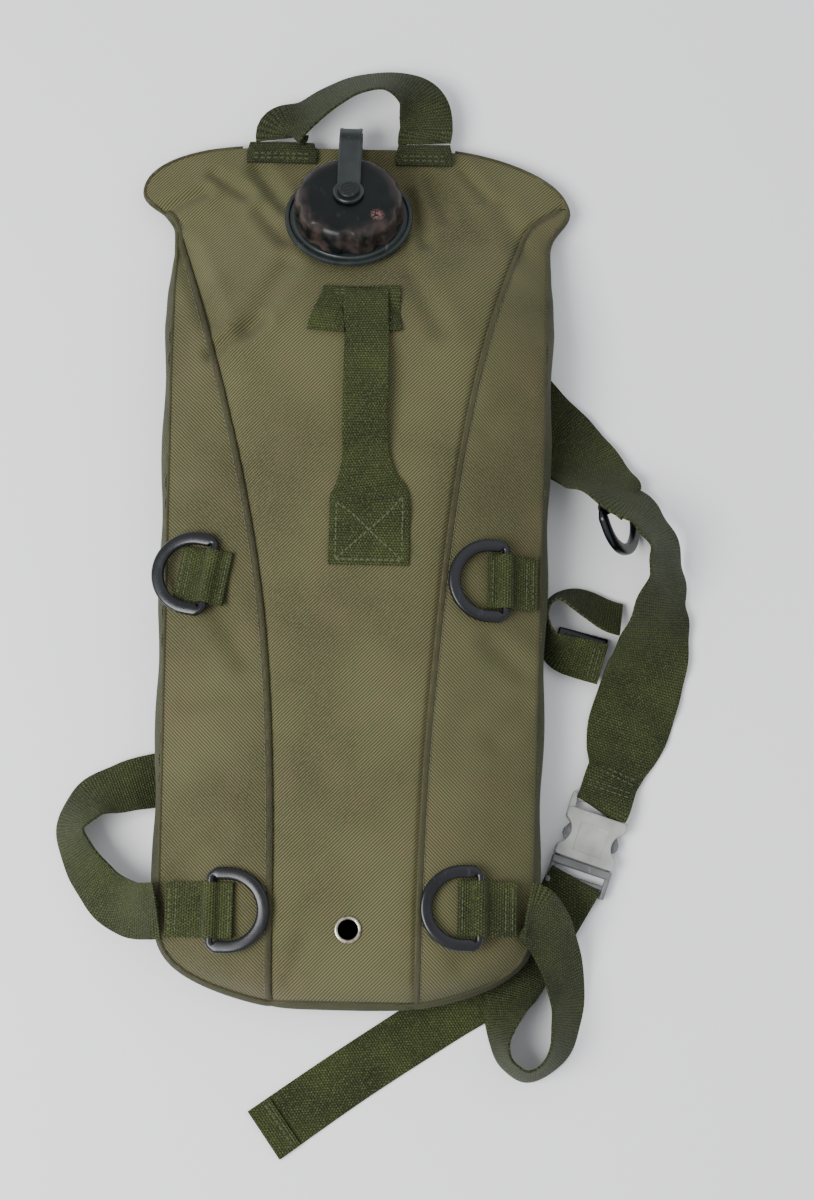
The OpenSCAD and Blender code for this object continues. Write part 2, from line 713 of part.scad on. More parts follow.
// the ring on each shoulder strap; the right one hangs under the strap, where it lifts on edge
ring_strap_left = [-81, 322, flat_z + web_t / 2 + gap + tab_axis];
ring_strap_right = [151.4, 294.8, 24.5];
strap_heading = -39;
strap_lift = 130;
ring_hang = 35;

module at_strap_ring(side) {
    laid() translate(side == 0 ? ring_strap_left : ring_strap_right)
        rotate([0, 0, side == 0 ? -90 : strap_heading])
            rotate([side == 0 ? 0 : strap_lift, 0, 0]) children();
}

module strap_tab_left() {
    color(webbing_green) at_strap_ring(0) tab_shape(12, 12);
}

module strap_tab_right() {
    color(webbing_green) at_strap_ring(1) tab_shape(12, 12);
}

module strap_ring_left() {
    color(plastic_black) at_strap_ring(0) ring_shape();
}

module strap_ring_right() {
    color(plastic_black) at_strap_ring(1) rotate([0, -ring_hang, 0]) ring_shape();
}

module lower_strap_left() {
    route = [[-80, 150, 8, 0, web_w], [-80, 143, 6.5, 0, web_w], [-84, 136, 5, 0, web_w],
        [-94, 130, 4.2, 0, web_w - 2], [-112, 126, 6, -8, web_w], [-130, 121, 11, -22, web_w],
        [-149, 113, 15.5, -40, web_w], [-160, 96, 17.5, -54, web_w], [-152, 76, 17.5, -46, web_w],
        [-137, 58, 21, -28, web_w], [-122, 50, 33, -12, web_w], [-110, 49, 45, 0, web_w],
        [-105, 49.5, 49, 0, web_w]];
    color(webbing_green) laid() ribbon(route, 4);
}

module lower_strap_right() {
    route = [[103, 54, 50, 0, web_w], [108, 52, 45, 4, web_w], [117, 41, 33, 22, web_w],
        [124.5, 24, 23, 38, web_w], [128, 4, 18.5, 50, web_w], [126, -18, 18, 62, web_w],
        [118, -33, 18, 74, web_w], [105, -39, 18, 78, web_w], [94, -32, 18, 78, web_w],
        [90, -19, 18, 70, web_w], [93, -2, 14.5, 46, web_w], [100, 15, 8, 16, web_w],
        [109, 32, 4, 0, web_w], [118, 47, 4, 0, web_w], [126, 61, 5.5, 0, web_w],
        [131, 70, 8, 0, web_w], [133.2, 74, 8, 0, web_w]];
    color(webbing_green) laid() ribbon(route, 4);
}

module tail_left() {
    route = [[-81, 150, 2, 0, web_w], [-82, 135, flat_z, 0, web_w], [-84, 105, flat_z, 0, web_w],
        [-82, 70, flat_z, 0, web_w], [-76, 32, flat_z, 0, web_w]];
    color(webbing_green) laid() ribbon(route, 3);
}

module tail_right() {
    route = [[133, 75, 2, 0, web_w], [127, 63, flat_z, 0, web_w], [115, 43, flat_z, 0, web_w],
        [93, 17, flat_z, 0, web_w], [56, -7, flat_z, 0, web_w], [5, -41, flat_z, 0, web_w],
        [-44, -76, flat_z, 0, web_w + 1]];
    color(webbing_green) laid() ribbon(route, 4);
}

// ---- sternum strap ----
module sternum_strap_left() {
    route = [[-81, 284, 3, 0, sternum_w], [-81, 273, 3, 0, sternum_w], [-81, 262, 4, 0, sternum_w],
        [-81, 255.5, 5.5, 0, sternum_w]];
    color(webbing_green) laid() ribbon(route, 3);
}

module sternum_strap_right() {
    route = [[158, 226, 9, -30, sternum_w - 2], [148, 229, 11, -36, sternum_w],
        [131, 237, 14, -52, sternum_w], [118, 237, 15, -78, sternum_w],
        [112, 227, 15, -84, sternum_w], [114, 214, 15, -70, sternum_w],
        [122, 206, 13.5, -40, sternum_w], [133, 202.5, 12.5, -26, sternum_w],
        [147, 199, 12, -22, sternum_w]];
    color(webbing_green) laid() ribbon(route, 4);
}

sternum_frame_t = 4.2;

module sternum_socket() {
    color(plastic_black) laid() translate([-95, 226, 2.6]) difference() {
        cube([28, 29, 7]);
        translate([3, -1, 1.4]) cube([22, 18, 4.2]);
        translate([3, 20, -1]) cube([22, 5, 9]);
    }
}

module sternum_plug() {
    color(plastic_black) laid() translate([134, 209, foot]) rotate([0, 0, -14]) difference() {
        translate([-15, -12, 0]) cube([30, 22, sternum_frame_t]);
        for (x = [-11, 2]) translate([x, -9, -1]) cube([9, 16, 7]);
    }
}

front_centre_panel();
front_left_panel();
front_right_panel();
side_gusset();
back_panel();
spine_pad();
insulation_liner();
loop_strip();
hook_strip();
reservoir_bag();
neck_collar();
outlet_elbow();
tether_ring();
tether_strap();
screw_cap();
cap_seal();
tether_button();
drain_eyelet();
drain_washer();
carry_anchor();
carry_strap();
handle_anchor_left();
handle_anchor_right();
grab_handle();
tab_lower_left();
tab_lower_right();
tab_upper_left();
tab_upper_right();
ring_lower_left();
ring_lower_right();
ring_upper_left();
ring_upper_right();
shoulder_yoke();
shoulder_strap_left();
shoulder_strap_right();
strap_tab_left();
strap_tab_right();
strap_ring_left();
strap_ring_right();
socket_left();
socket_right();
plug_left();
plug_right();
prong_left_a();
prong_left_b();
prong_right_a();
prong_right_b();
lower_strap_left();
lower_strap_right();
tail_left();
tail_right();
sternum_strap_left();
sternum_strap_right();
sternum_socket();
sternum_plug();
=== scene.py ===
# A hydration pack lying on its back on a pale floor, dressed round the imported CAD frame.
# Lengths are in millimetres until a mesh is placed. y is measured up the pack from its bottom
# edge, and place() turns it into metres in the frame, whose origin is half way up the pack.

import math

import bpy
import numpy as np
from mathutils import Matrix, Quaternion, Vector


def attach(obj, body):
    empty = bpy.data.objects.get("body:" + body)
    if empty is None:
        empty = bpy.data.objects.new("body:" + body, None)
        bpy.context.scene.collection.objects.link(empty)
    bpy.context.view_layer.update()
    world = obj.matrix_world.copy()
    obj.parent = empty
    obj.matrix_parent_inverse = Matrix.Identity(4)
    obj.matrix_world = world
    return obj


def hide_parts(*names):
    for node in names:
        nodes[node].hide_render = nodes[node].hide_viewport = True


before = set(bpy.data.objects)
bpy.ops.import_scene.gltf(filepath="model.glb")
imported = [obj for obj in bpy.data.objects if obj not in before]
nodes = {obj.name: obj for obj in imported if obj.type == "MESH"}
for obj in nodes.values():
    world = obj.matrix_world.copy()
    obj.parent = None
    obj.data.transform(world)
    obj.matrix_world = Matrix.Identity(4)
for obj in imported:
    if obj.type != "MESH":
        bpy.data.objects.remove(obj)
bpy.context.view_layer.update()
scene = bpy.context.scene

# ---- Floor, light and camera ----
# The pack lies on a pale matt table under broad soft light that comes mostly from the left, and
# it is seen from almost straight above.
MM = 0.001
pack_h = 511.0


def srgb(r, g, b):
    """A colour given as 0-255 screen values, as linear light."""
    return tuple(((c / 255 + 0.055) / 1.055) ** 2.4 for c in (r, g, b)) + (1.0,)


def add_node(tree, kind, inputs=None, **settings):
    """A new node with its settings, and its inputs given as plain values or as other sockets."""
    made = tree.nodes.new(kind)
    for key, value in settings.items():
        setattr(made, key, value)
    for key, value in (inputs or {}).items():
        if isinstance(value, bpy.types.NodeSocket):
            tree.links.new(value, made.inputs[key])
        else:
            made.inputs[key].default_value = value
    return made


def new_material(name, **values):
    """A material's tree and Principled shader, with the constant values on its own sockets."""
    material = bpy.data.materials.new(name)
    material.use_nodes = True
    shader = material.node_tree.nodes["Principled BSDF"]
    for key, value in values.items():
        shader.inputs[key.replace("_", " ")].default_value = value
    return material, material.node_tree, shader


def between(tree, factor, low, high, kind="MIX"):
    """The colour between two colours, or colour sockets, at a factor."""
    return add_node(tree, "ShaderNodeMix", {0: factor, 6: low, 7: high},
                    data_type="RGBA", blend_type=kind).outputs[2]


def arithmetic(tree, kind, *values):
    return add_node(tree, "ShaderNodeMath", dict(enumerate(values)), operation=kind).outputs[0]


def blotches(tree, scale, low, high, detail=3.0):
    """A soft noise over the object's own coordinates, spread from 0 to 1 between two levels."""
    here = add_node(tree, "ShaderNodeTexCoord").outputs["Object"]
    noise = add_node(tree, "ShaderNodeTexNoise", {"Vector": here, "Scale": scale, "Detail": detail})
    return add_node(tree, "ShaderNodeMapRange",
                    {"Value": noise.outputs["Fac"], "From Min": low, "From Max": high}).outputs[0]


floor_paint, floor_tree, floor_shader = new_material("pale_floor", Roughness=0.9)
floor_shader.inputs["Specular IOR Level"].default_value = 0.1
floor_tree.links.new(between(floor_tree, blotches(floor_tree, 1.2, 0.3, 0.7), srgb(243, 243, 243),
                             srgb(247, 247, 247)), floor_shader.inputs["Base Color"])
bpy.ops.object.select_all(action="DESELECT")
bpy.ops.mesh.primitive_plane_add(size=12.0)
floor = bpy.context.object
floor.name = "floor"
floor.data.materials.append(floor_paint)

world = bpy.data.worlds.new("studio")
scene.world = world
world.use_nodes = True
backdrop = world.node_tree.nodes["Background"]
backdrop.inputs["Color"].default_value = srgb(236, 238, 244)
backdrop.inputs["Strength"].default_value = 0.93
for label, spot, size, watts in (("key", (-0.85, -0.45, 1.35), 0.9, 33.0),
                                 ("fill", (0.7, 0.7, 1.7), 1.4, 3.0)):
    lamp = bpy.data.lights.new(label, "AREA")
    lamp.size = size
    lamp.energy = watts
    holder = bpy.data.objects.new(label, lamp)
    holder.location = spot
    holder.rotation_euler = (Vector((0.02, 0, 0.03)) - Vector(spot)).to_track_quat("-Z", "Y").to_euler()
    scene.collection.objects.link(holder)

elevation = math.radians(81)
aim = Vector((0.0315, -0.026, 0.045))
eye = aim + 1.4 * Vector((0, -math.cos(elevation), math.sin(elevation)))
camera = bpy.data.objects.new("camera", bpy.data.cameras.new("camera"))
camera.data.lens = 73.08
camera.data.sensor_width = 36
camera.location = eye
camera.rotation_mode = "QUATERNION"
camera.rotation_quaternion = (aim - eye).to_track_quat("-Z", "Y") @ Quaternion((0, 0, 1),
    math.asin(0.0218))
scene.collection.objects.link(camera)
scene.camera = camera


# ---- Shell: front panels ----
# Three panels of coated polyester oxford over foam, olive drab. The centre panel runs from the
# narrow bottom up and out to the two shoulder corners, and two side panels are felled to it.
def ease(t):
    k = np.clip(t, 0, 1)
    return k * k * (3 - 2 * k)


def back_z(y):
    return 13 - 7 * ease((y - 380) / 131)


def crown_z(y):
    toe = 26 + 32 * np.sqrt(np.clip(1 - (1 - np.maximum(y, 0) / 45) ** 2, 0, None))
    return np.where(y < 45, toe, 58 - 46 * ease((y - 375) / 140))


def rim_z(y):
    return np.where(y < 60, 26 + 14 * ease(y / 60), 40 - 30.4 * ease((y - 360) / 151))


ear_out = (22, 13)
ear_y = (481, 473)
top_half = (60, 50)
top_power = (0.45, 0.7)


def plain_half(y):
    return np.where(y < 55, 105 - 65 * (1 - np.maximum(y, 0) / 55) ** 4,
                    105 + 5 * np.minimum(1, (y - 55) / 375))


def half_w(y, side):
    """Half width of the carrier, side 0 on the left and 1 on the right."""
    def ear(at):
        return plain_half(at) + ear_out[side] * np.exp(-(((at - ear_y[side]) / 14) ** 2))
    over = np.clip((y - ear_y[side]) / (pack_h - ear_y[side]), 0, 1)
    top = top_half[side] + (ear(ear_y[side]) - top_half[side]) * (1 - over ** 2) ** top_power[side]
    return np.where(y < ear_y[side], ear(y), top)


def seam_x(y, side):
    """Distance from the middle line out to a felled seam."""
    lean = -7 * ease((y - 180) / 240) * (-1 if side == 0 else 1)
    return lean + 40 + 68 * (np.maximum(y, 0) / 470) ** 2.6 + 16 * np.exp(-(((y - 478) / 12) ** 2))


def front_z(x, y):
    u = np.abs(x) / np.where(x < 0, half_w(y, 0), half_w(y, 1))
    return rim_z(y) + (crown_z(y) - rim_z(y)) * (1 - np.minimum(1, u) ** 3.5)


# soft folds in the filled shell: ends (x, y), depth and half width, mostly drawn to the filler neck
folds = [(-86, 372, -57, 391, 1.3, 4), (-106, 440, -86, 392, 1.6, 6), (-43, 428, -64, 386, 1.2, 6),
         (30, 424, 48, 388, 1.0, 6), (26, 480, 38, 446, 1.4, 4), (40, 492, 50, 464, 1.2, 4),
         (-124, 466, -96, 480, 1.5, 4), (-79, 226, -60, 192, 1.3, 7), (-94, 168, -57, 175, 0.7, 6),
         (-64, 496, -47, 470, 1.4, 5), (82, 474, 98, 440, 0.9, 6), (-60, 466, -46, 447, 1.1, 5),
         (80, 205, 98, 190, 0.9, 6), (84, 150, 100, 168, 0.8, 7), (-96, 70, -70, 92, 0.9, 6),
         (66, 24, 84, 40, 0.9, 6), (-90, 492, -70, 478, 1.1, 4), (60, 498, 74, 480, 0.9, 4),
         (-100, 310, -82, 330, 0.7, 8), (76, 330, 96, 352, 0.8, 7), (-30, 12, -22, 34, 0.6, 5)]


def fold_depth(x, y):
    total = np.zeros_like(x)
    for x0, y0, x1, y1, depth, wide in folds:
        dx, dy = x1 - x0, y1 - y0
        t = np.clip(((x - x0) * dx + (y - y0) * dy) / (dx * dx + dy * dy), 0, 1)
        away = np.hypot(x - x0 - t * dx, y - y0 - t * dy)
        total += 2.3 * depth * (np.exp(-((away / wide) ** 2)) - 0.35 * np.exp(
                -(((away - 1.9 * wide) / wide) ** 2)))
    return total


def soft_front(x, y):
    """The front as it really lies: seams pulled in with small puckers, folds and slow waves."""
    z = front_z(x, y) - fold_depth(x, y)
    for side in (0, 1):
        off = np.abs(x * (-1 if side == 0 else 1) - seam_x(y, side))
        off = np.where(y < 478, off, np.hypot(off, y - 478))
        z = z - 1.2 * np.exp(-((off / 6.5) ** 2)) - 1.6 * np.exp(-((off / 1.6) ** 2))
        z = z + 0.28 * np.sin(y / 1.9 + 2 * np.sin(y / 23 + side)) * np.exp(-((off / 7) ** 2))
    near_rim = 1 - np.minimum(np.abs(x) / np.where(x < 0, half_w(y, 0), half_w(y, 1)), 1)
    z = z + 0.5 * np.sin(y / 4.3 + np.sin(y / 17)) * np.exp(-near_rim / 0.045)
    waves = np.sin(x / 17 + y / 41) * np.sin(y / 27 - x / 33) + 0.5 * np.sin(x / 9 - y / 15 + 1.3)
    return z + 0.32 * waves - 0.3


def alone(obj):
    bpy.ops.object.select_all(action="DESELECT")
    obj.select_set(True)
    bpy.context.view_layer.objects.active = obj


def finish_with(obj, kind, **settings):
    """Adds a modifier and applies it."""
    alone(obj)
    modifier = obj.modifiers.new(kind.title(), kind)
    for key, value in settings.items():
        setattr(modifier, key, value)
    bpy.ops.object.modifier_apply(modifier=modifier.name)


def smooth(obj, angle=40):
    alone(obj)
    bpy.ops.object.shade_smooth_by_angle(angle=math.radians(angle))


def place(obj, x, y, z):
    """Moves an object's vertices to millimetre places on the pack, as metres in the frame."""
    points = np.stack(np.broadcast_arrays(x, y - pack_h / 2, z), axis=-1) * MM
    obj.data.vertices.foreach_set("co", points.astype(np.float32).ravel())
    obj.data.update()


def lay_uv(obj, u, v):
    """Gives each vertex its place on the cloth, in metres, as the piece's UV map."""
    corner = np.zeros(len(obj.data.loops), np.int32)
    obj.data.loops.foreach_get("vertex_index", corner)
    pair = np.stack(np.broadcast_arrays(u, v), axis=-1)[corner] * MM
    obj.data.uv_layers.active.data.foreach_set("uv", pair.astype(np.float32).ravel())


def start_from(name, add, **settings):
    """A new primitive under the piece's name, and its vertices as rows of x, y and z."""
    bpy.ops.object.select_all(action="DESELECT")
    add(**settings)
    obj = bpy.context.object
    obj.name = obj.data.name = name
    flat = np.zeros(len(obj.data.vertices) * 3)
    obj.data.vertices.foreach_get("co", flat)
    return obj, flat.reshape(-1, 3)


def cloth_grid(name, across, along):
    """A flat grid to be shaped, with each vertex's share of the way across and along."""
    obj, flat = start_from(name, bpy.ops.mesh.primitive_grid_add, x_subdivisions=across,
                           y_subdivisions=along, size=1)
    return obj, flat[:, 0] + 0.5, flat[:, 1] + 0.5


def close_up(obj, angle=40):
    """Turns a piece's faces outwards and smooths all but its sharp edges."""
    alone(obj)
    bpy.ops.object.mode_set(mode="EDIT")
    bpy.ops.mesh.select_all(action="SELECT")
    bpy.ops.mesh.normals_make_consistent(inside=False)
    bpy.ops.object.mode_set(mode="OBJECT")
    smooth(obj, angle)


def fuller(wave, power):
    """A sine or cosine made squarer by a power under 1, keeping its sign."""
    return np.sign(wave) * np.abs(wave) ** power


def give(obj, body, material, slot, *replaced):
    """Puts a finished piece on its body, in its material, for the CAD nodes it stands for."""
    obj.data.materials.clear()
    obj.data.materials.append(material)
    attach(obj, body)
    if replaced:
        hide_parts(*replaced)


def emboss(tree, shader, height, strength, depth):
    """Lets a height socket show in the surface, to a depth in millimetres."""
    bump = add_node(tree, "ShaderNodeBump", {"Height": height, "Strength": strength,
                                             "Distance": depth * MM})
    tree.links.new(bump.outputs[0], shader.inputs["Normal"])


def weave_group():
    """Oxford weave: paired yarns over and under, with the diagonal that the pairs make."""
    group = bpy.data.node_groups.new("oxford_weave", "ShaderNodeTree")
    face = group.interface
    face.new_socket("Place", in_out="INPUT", socket_type="NodeSocketVector")
    face.new_socket("Pitch", in_out="INPUT", socket_type="NodeSocketFloat")
    face.new_socket("Height", in_out="OUTPUT", socket_type="NodeSocketFloat")
    ends = add_node(group, "NodeGroupInput")
    split = add_node(group, "ShaderNodeSeparateXYZ", {0: ends.outputs["Place"]})
    across, along = (arithmetic(group, "DIVIDE", split.outputs[k], ends.outputs["Pitch"]) for k in (0, 1))
    turns = [arithmetic(group, "SINE", arithmetic(group, "MULTIPLY", way, 2 * math.pi))
             for way in (across, along)]
    knots = arithmetic(group, "MULTIPLY", *turns)
    slant = arithmetic(group, "SUBTRACT", across, along)
    twill = arithmetic(group, "SINE", arithmetic(group, "MULTIPLY", slant, math.pi))
    total = arithmetic(group, "ADD", arithmetic(group, "MULTIPLY", knots, 0.22),
                       arithmetic(group, "MULTIPLY", twill, 0.28))
    out = add_node(group, "NodeGroupOutput")
    group.links.new(arithmetic(group, "ADD", total, 0.5), out.inputs["Height"])
    return group


oxford = weave_group()


def shell_cloth(name, light, dark, speck_and_sheen, turned=0.0):
    """Coated oxford: two greens in slow patches, painted sheen in brownish patches, brown specks, and a
    fine weave with painted shade in its low points.
    """
    material, tree, shader = new_material(name, Roughness=0.78, Sheen_Weight=0.04, Sheen_Roughness=0.5)
    shader.inputs["Specular IOR Level"].default_value = 0.24
    cloth = add_node(tree, "ShaderNodeTexCoord").outputs["UV"]
    turn = add_node(tree, "ShaderNodeMapping", {"Vector": cloth, "Rotation": (0, 0, turned)})
    weave = add_node(tree, "ShaderNodeGroup", node_tree=oxford)
    tree.links.new(turn.outputs[0], weave.inputs["Place"])
    weave.inputs["Pitch"].default_value = 1.02 * MM
    height = weave.outputs["Height"]
    ground = between(tree, blotches(tree, 14, 0.36, 0.66), dark, light)
    # painted sheen: brownish patches mixed in where the cloth catches the light
    ground = between(tree, arithmetic(tree, "MULTIPLY", blotches(tree, 34, 0.5, 0.72), 0.4), ground, speck_and_sheen)
    speckle = arithmetic(tree, "MULTIPLY", blotches(tree, 1100, 0.42, 0.6, 1), 0.65)
    ground = between(tree, speckle, ground, speck_and_sheen)
    # painted shade: the weave's low points darkened towards a dark olive
    pit_shade = between(tree, 0.95, ground, srgb(50, 50, 30), "MULTIPLY")
    tree.links.new(between(tree, height, pit_shade, ground), shader.inputs["Base Color"])
    rough = add_node(tree, "ShaderNodeMapRange", {"Value": height, "To Min": 0.86, "To Max": 0.66})
    tree.links.new(rough.outputs[0], shader.inputs["Roughness"])
    emboss(tree, shader, height, 0.8, 0.6)
    return material


olive_front = shell_cloth("oxford_front", srgb(116, 121, 80), srgb(90, 95, 60), srgb(130, 116, 84))
olive_side = shell_cloth("oxford_side", srgb(112, 116, 77), srgb(86, 91, 57), srgb(122, 108, 78),
                         math.pi / 2)
cloth_t = 1.2
neck_at = np.array([-8.0, 460.0, 32.0])
neck_tilt = math.radians(25)
hole_r = 31.4
drain_at = (2.5, 40.7)


def front_panel(name, left, right, high, across, along, material, node):
    """One cut panel between two edges, in its own cloth, with its thickness inwards."""
    obj, s, t = cloth_grid(name, across, along)
    y = 0.8 + (high - 0.8) * (t - 0.05 * np.sin(2 * math.pi * t))
    x = left(y) + (right(y) - left(y)) * s
    place(obj, x, y, soft_front(x, y))
    lay_uv(obj, x, y)
    finish_with(obj, "SOLIDIFY", thickness=cloth_t * MM, offset=-1)
    smooth(obj)
    give(obj, "carrier", material, "shell_fabric", node)
    return obj


def drill(obj, x, y, z, radius, lean=0.0):
    """Cuts a round hole through a finished piece."""
    bit, _ = start_from("drill_bit", bpy.ops.mesh.primitive_cylinder_add, vertices=96, radius=radius * MM,
                        depth=30 * MM, rotation=(-lean, 0, 0),
                        location=(x * MM, (y - pack_h / 2) * MM, z * MM))
    finish_with(obj, "BOOLEAN", operation="DIFFERENCE", solver="EXACT", object=bit)
    bpy.data.objects.remove(bit)


def centre_edge(y, side):
    """Where the centre panel ends: at the seam, and past the seam's top at the carrier's edge."""
    return np.where(y < 475, np.minimum(seam_x(y, side), half_w(y, side)), half_w(y, side))


panel_top = 510.6
centre_panel = front_panel("front_centre_cloth", lambda y: -centre_edge(y, 0), lambda y: centre_edge(y, 1),
                           panel_top, 140, 300, olive_front, "front_centre_panel")
drill(centre_panel, *neck_at, hole_r, neck_tilt)
drill(centre_panel, *drain_at, 57, 6.2)
smooth(centre_panel)
left_panel = front_panel("front_left_cloth", lambda y: -half_w(y, 0),
                         lambda y: -np.minimum(seam_x(y, 0), half_w(y, 0) - 1),
                         470, 44, 260, olive_side, "front_left_panel")
right_panel = front_panel("front_right_cloth", lambda y: np.minimum(seam_x(y, 1), half_w(y, 1) - 1),
                          lambda y: half_w(y, 1),
                          475, 44, 260, olive_side, "front_right_panel")


# ---- Shell: felled seams and topstitching ----
# Each side panel is folded over the centre panel's edge into a round 4 mm welt, held down by one
# row of olive thread along its outer side.
def rope_group():
    """Twist of a sewing thread or cord, along and round it."""
    group = bpy.data.node_groups.new("thread_twist", "ShaderNodeTree")
    group.interface.new_socket("Place", in_out="INPUT", socket_type="NodeSocketVector")
    group.interface.new_socket("Height", in_out="OUTPUT", socket_type="NodeSocketFloat")
    ends = add_node(group, "NodeGroupInput")
    wave = add_node(group, "ShaderNodeTexWave",
                    {"Vector": ends.outputs["Place"], "Scale": 400.0, "Distortion": 1.0},
                    bands_direction="DIAGONAL")
    out = add_node(group, "NodeGroupOutput")
    group.links.new(wave.outputs["Fac"], out.inputs["Height"])
    return group


twist = rope_group()


def thread_material(name, light, dark):
    """Olive sewing thread, darker in its twist."""
    material, tree, shader = new_material(name, Roughness=0.6, Sheen_Weight=0.2)
    here = add_node(tree, "ShaderNodeTexCoord").outputs["Object"]
    strands = add_node(tree, "ShaderNodeGroup", node_tree=twist)
    tree.links.new(here, strands.inputs["Place"])
    tree.links.new(between(tree, strands.outputs[0], dark, light), shader.inputs["Base Color"])
    emboss(tree, shader, strands.outputs[0], 0.5, 0.1)
    return material


shell_thread = thread_material("shell_thread", srgb(92, 92, 62), srgb(48, 50, 30))
web_thread = thread_material("webbing_thread", srgb(78, 86, 46), srgb(30, 36, 16))


def smooth_path(points, steps):
    """Catmull-Rom points through a given route, as an array with the route's own columns."""
    p = np.array(points, float)
    rows = []
    for i in range(len(p) - 1):
        a, b, c, d = p[max(0, i - 1)], p[i], p[i + 1], p[min(len(p) - 1, i + 2)]
        for t in np.arange(steps) / steps:
            rows.append(0.5 * (2 * b + (c - a) * t + (2 * a - 5 * b + 4 * c - d) * t * t
                               + (3 * b - a - 3 * c + d) * t ** 3))
    return np.array(rows + [p[-1]])


def spaced(path, gap):
    """The same path at even spacing, its columns carried along."""
    length = np.concatenate([[0], np.cumsum(np.linalg.norm(np.diff(path[:, :3], axis=0), axis=1))])
    count = max(2, int(round(length[-1] / gap)) + 1)
    at = np.linspace(0, length[-1], count)
    return np.stack([np.interp(at, length, path[:, k]) for k in range(path.shape[1])], axis=1), at


def unit(v):
    """Rows of vectors, each made one long."""
    return v / np.maximum(1e-9, np.linalg.norm(v, axis=-1, keepdims=True))


def sew(name, lines, material, body, slot, long=2.9, gap=0.75, thick=0.34):
    """Rows of stitches: one rounded stitch modelled once and laid along each line's points."""
    obj, ball = start_from(name, bpy.ops.mesh.primitive_uv_sphere_add, segments=8, ring_count=6, radius=1)
    faces = [tuple(face.vertices) for face in obj.data.polygons]
    stretch = fuller(ball[:, 2], 0.6)
    points, polygons = [], []
    for line in lines:
        even, at = spaced(np.array(line, float), long + gap)
        ahead = unit(np.gradient(even, axis=0))
        side = unit(np.cross(ahead, [0.0, 0.0, 1.0]) + 1e-6)
        lift = np.cross(side, ahead)
        for k in range(len(even) - 1):
            mid = (even[k] + even[k + 1]) / 2
            base = len(points) * len(ball)
            arch = (1 - stretch ** 2) * thick * 0.5 - thick * 0.35
            points.append(mid + np.outer(ball[:, 0] * thick, side[k])
                          + np.outer(ball[:, 1] * thick + arch, lift[k])
                          + np.outer(stretch * long / 2, ahead[k]))
            polygons += [tuple(v + base for v in face) for face in faces]
    all_points = np.concatenate(points)
    obj.data.clear_geometry()
    obj.data.from_pydata(np.zeros((len(all_points), 3)).tolist(), [], polygons)
    place(obj, all_points[:, 0], all_points[:, 1], all_points[:, 2])
    close_up(obj, 80)
    give(obj, body, material, slot)


def tube(name, path, radius, sides=10, squash=1.0):
    """A closed round rod along a path, its rounded section squashed in height."""
    path = np.array(path, float)
    obj, ball = start_from(name, bpy.ops.mesh.primitive_uv_sphere_add, segments=sides,
                           ring_count=len(path) + 1, radius=1)
    level = np.arccos(np.clip(ball[:, 2], -1, 1)) / math.pi * (len(path) + 1)
    ring = np.clip(np.round(level).astype(int) - 1, 0, len(path) - 1)
    ahead = unit(np.gradient(path, axis=0))
    side = unit(np.cross(ahead, [0.0, 0.0, 1.0]) + 1e-6)
    lift = np.cross(side, ahead)
    turn = np.arctan2(ball[:, 1], ball[:, 0])
    size = np.broadcast_to(radius, len(path))[ring]
    pole = np.hypot(ball[:, 0], ball[:, 1]) < 1e-4
    size = np.where(pole, 0, size)
    level_part = (size * np.cos(turn))[:, None] * side[ring]
    upright_part = (size * squash * np.sin(turn))[:, None] * lift[ring]
    out = path[ring] + level_part + upright_part
    place(obj, out[:, 0], out[:, 1], out[:, 2])
    close_up(obj, 60)
    return obj


welt_w = 3.8
for side, tag in ((0, "left"), (1, "right")):
    sign = -1 if side == 0 else 1
    y = np.linspace(2, 468 if side == 0 else 474, 240)
    x = sign * np.minimum(seam_x(y, side) + welt_w / 2, half_w(y, side) - 1.5)
    ripple = 0.12 * np.sin(y / 1.9 + np.sin(y / 13))
    welt = tube("seam_welt_" + tag, np.stack([x, y, soft_front(x, y) + 0.1 + ripple], axis=1),
                welt_w / 2, 12, 0.62)
    give(welt, "carrier", olive_side, "shell_fabric")
    x = sign * np.minimum(seam_x(y, side) + welt_w + 0.1, half_w(y, side) - 3)
    sew("seam_stitches_" + tag, [np.stack([x, y, soft_front(x, y) + 0.25], axis=1)], shell_thread,
        "carrier", "shell_fabric")


# ---- Shell: side gusset, back panel and spine pad ----
# A tall strip of the same cloth joins front and back all round, with a corded edge at the front seam; its
# greens, also used on the back panel, are painted darker as shade. The back panel carries a foam pad in
# spacer mesh that lies against the spine.
def rim_path(count):
    """Points round the carrier's edge from the top left down, across the toe and up the right."""
    left = np.linspace(panel_top, 1.0, count)
    turn = np.linspace(-1, 1, 40)[1:-1] * half_w(np.array(1.0), 0)
    xs = np.concatenate([-half_w(left, 0), turn, half_w(left[::-1], 1)])
    ys = np.concatenate([left, np.full(len(turn), 0.8), left[::-1]])
    return np.stack([xs, ys], axis=1)


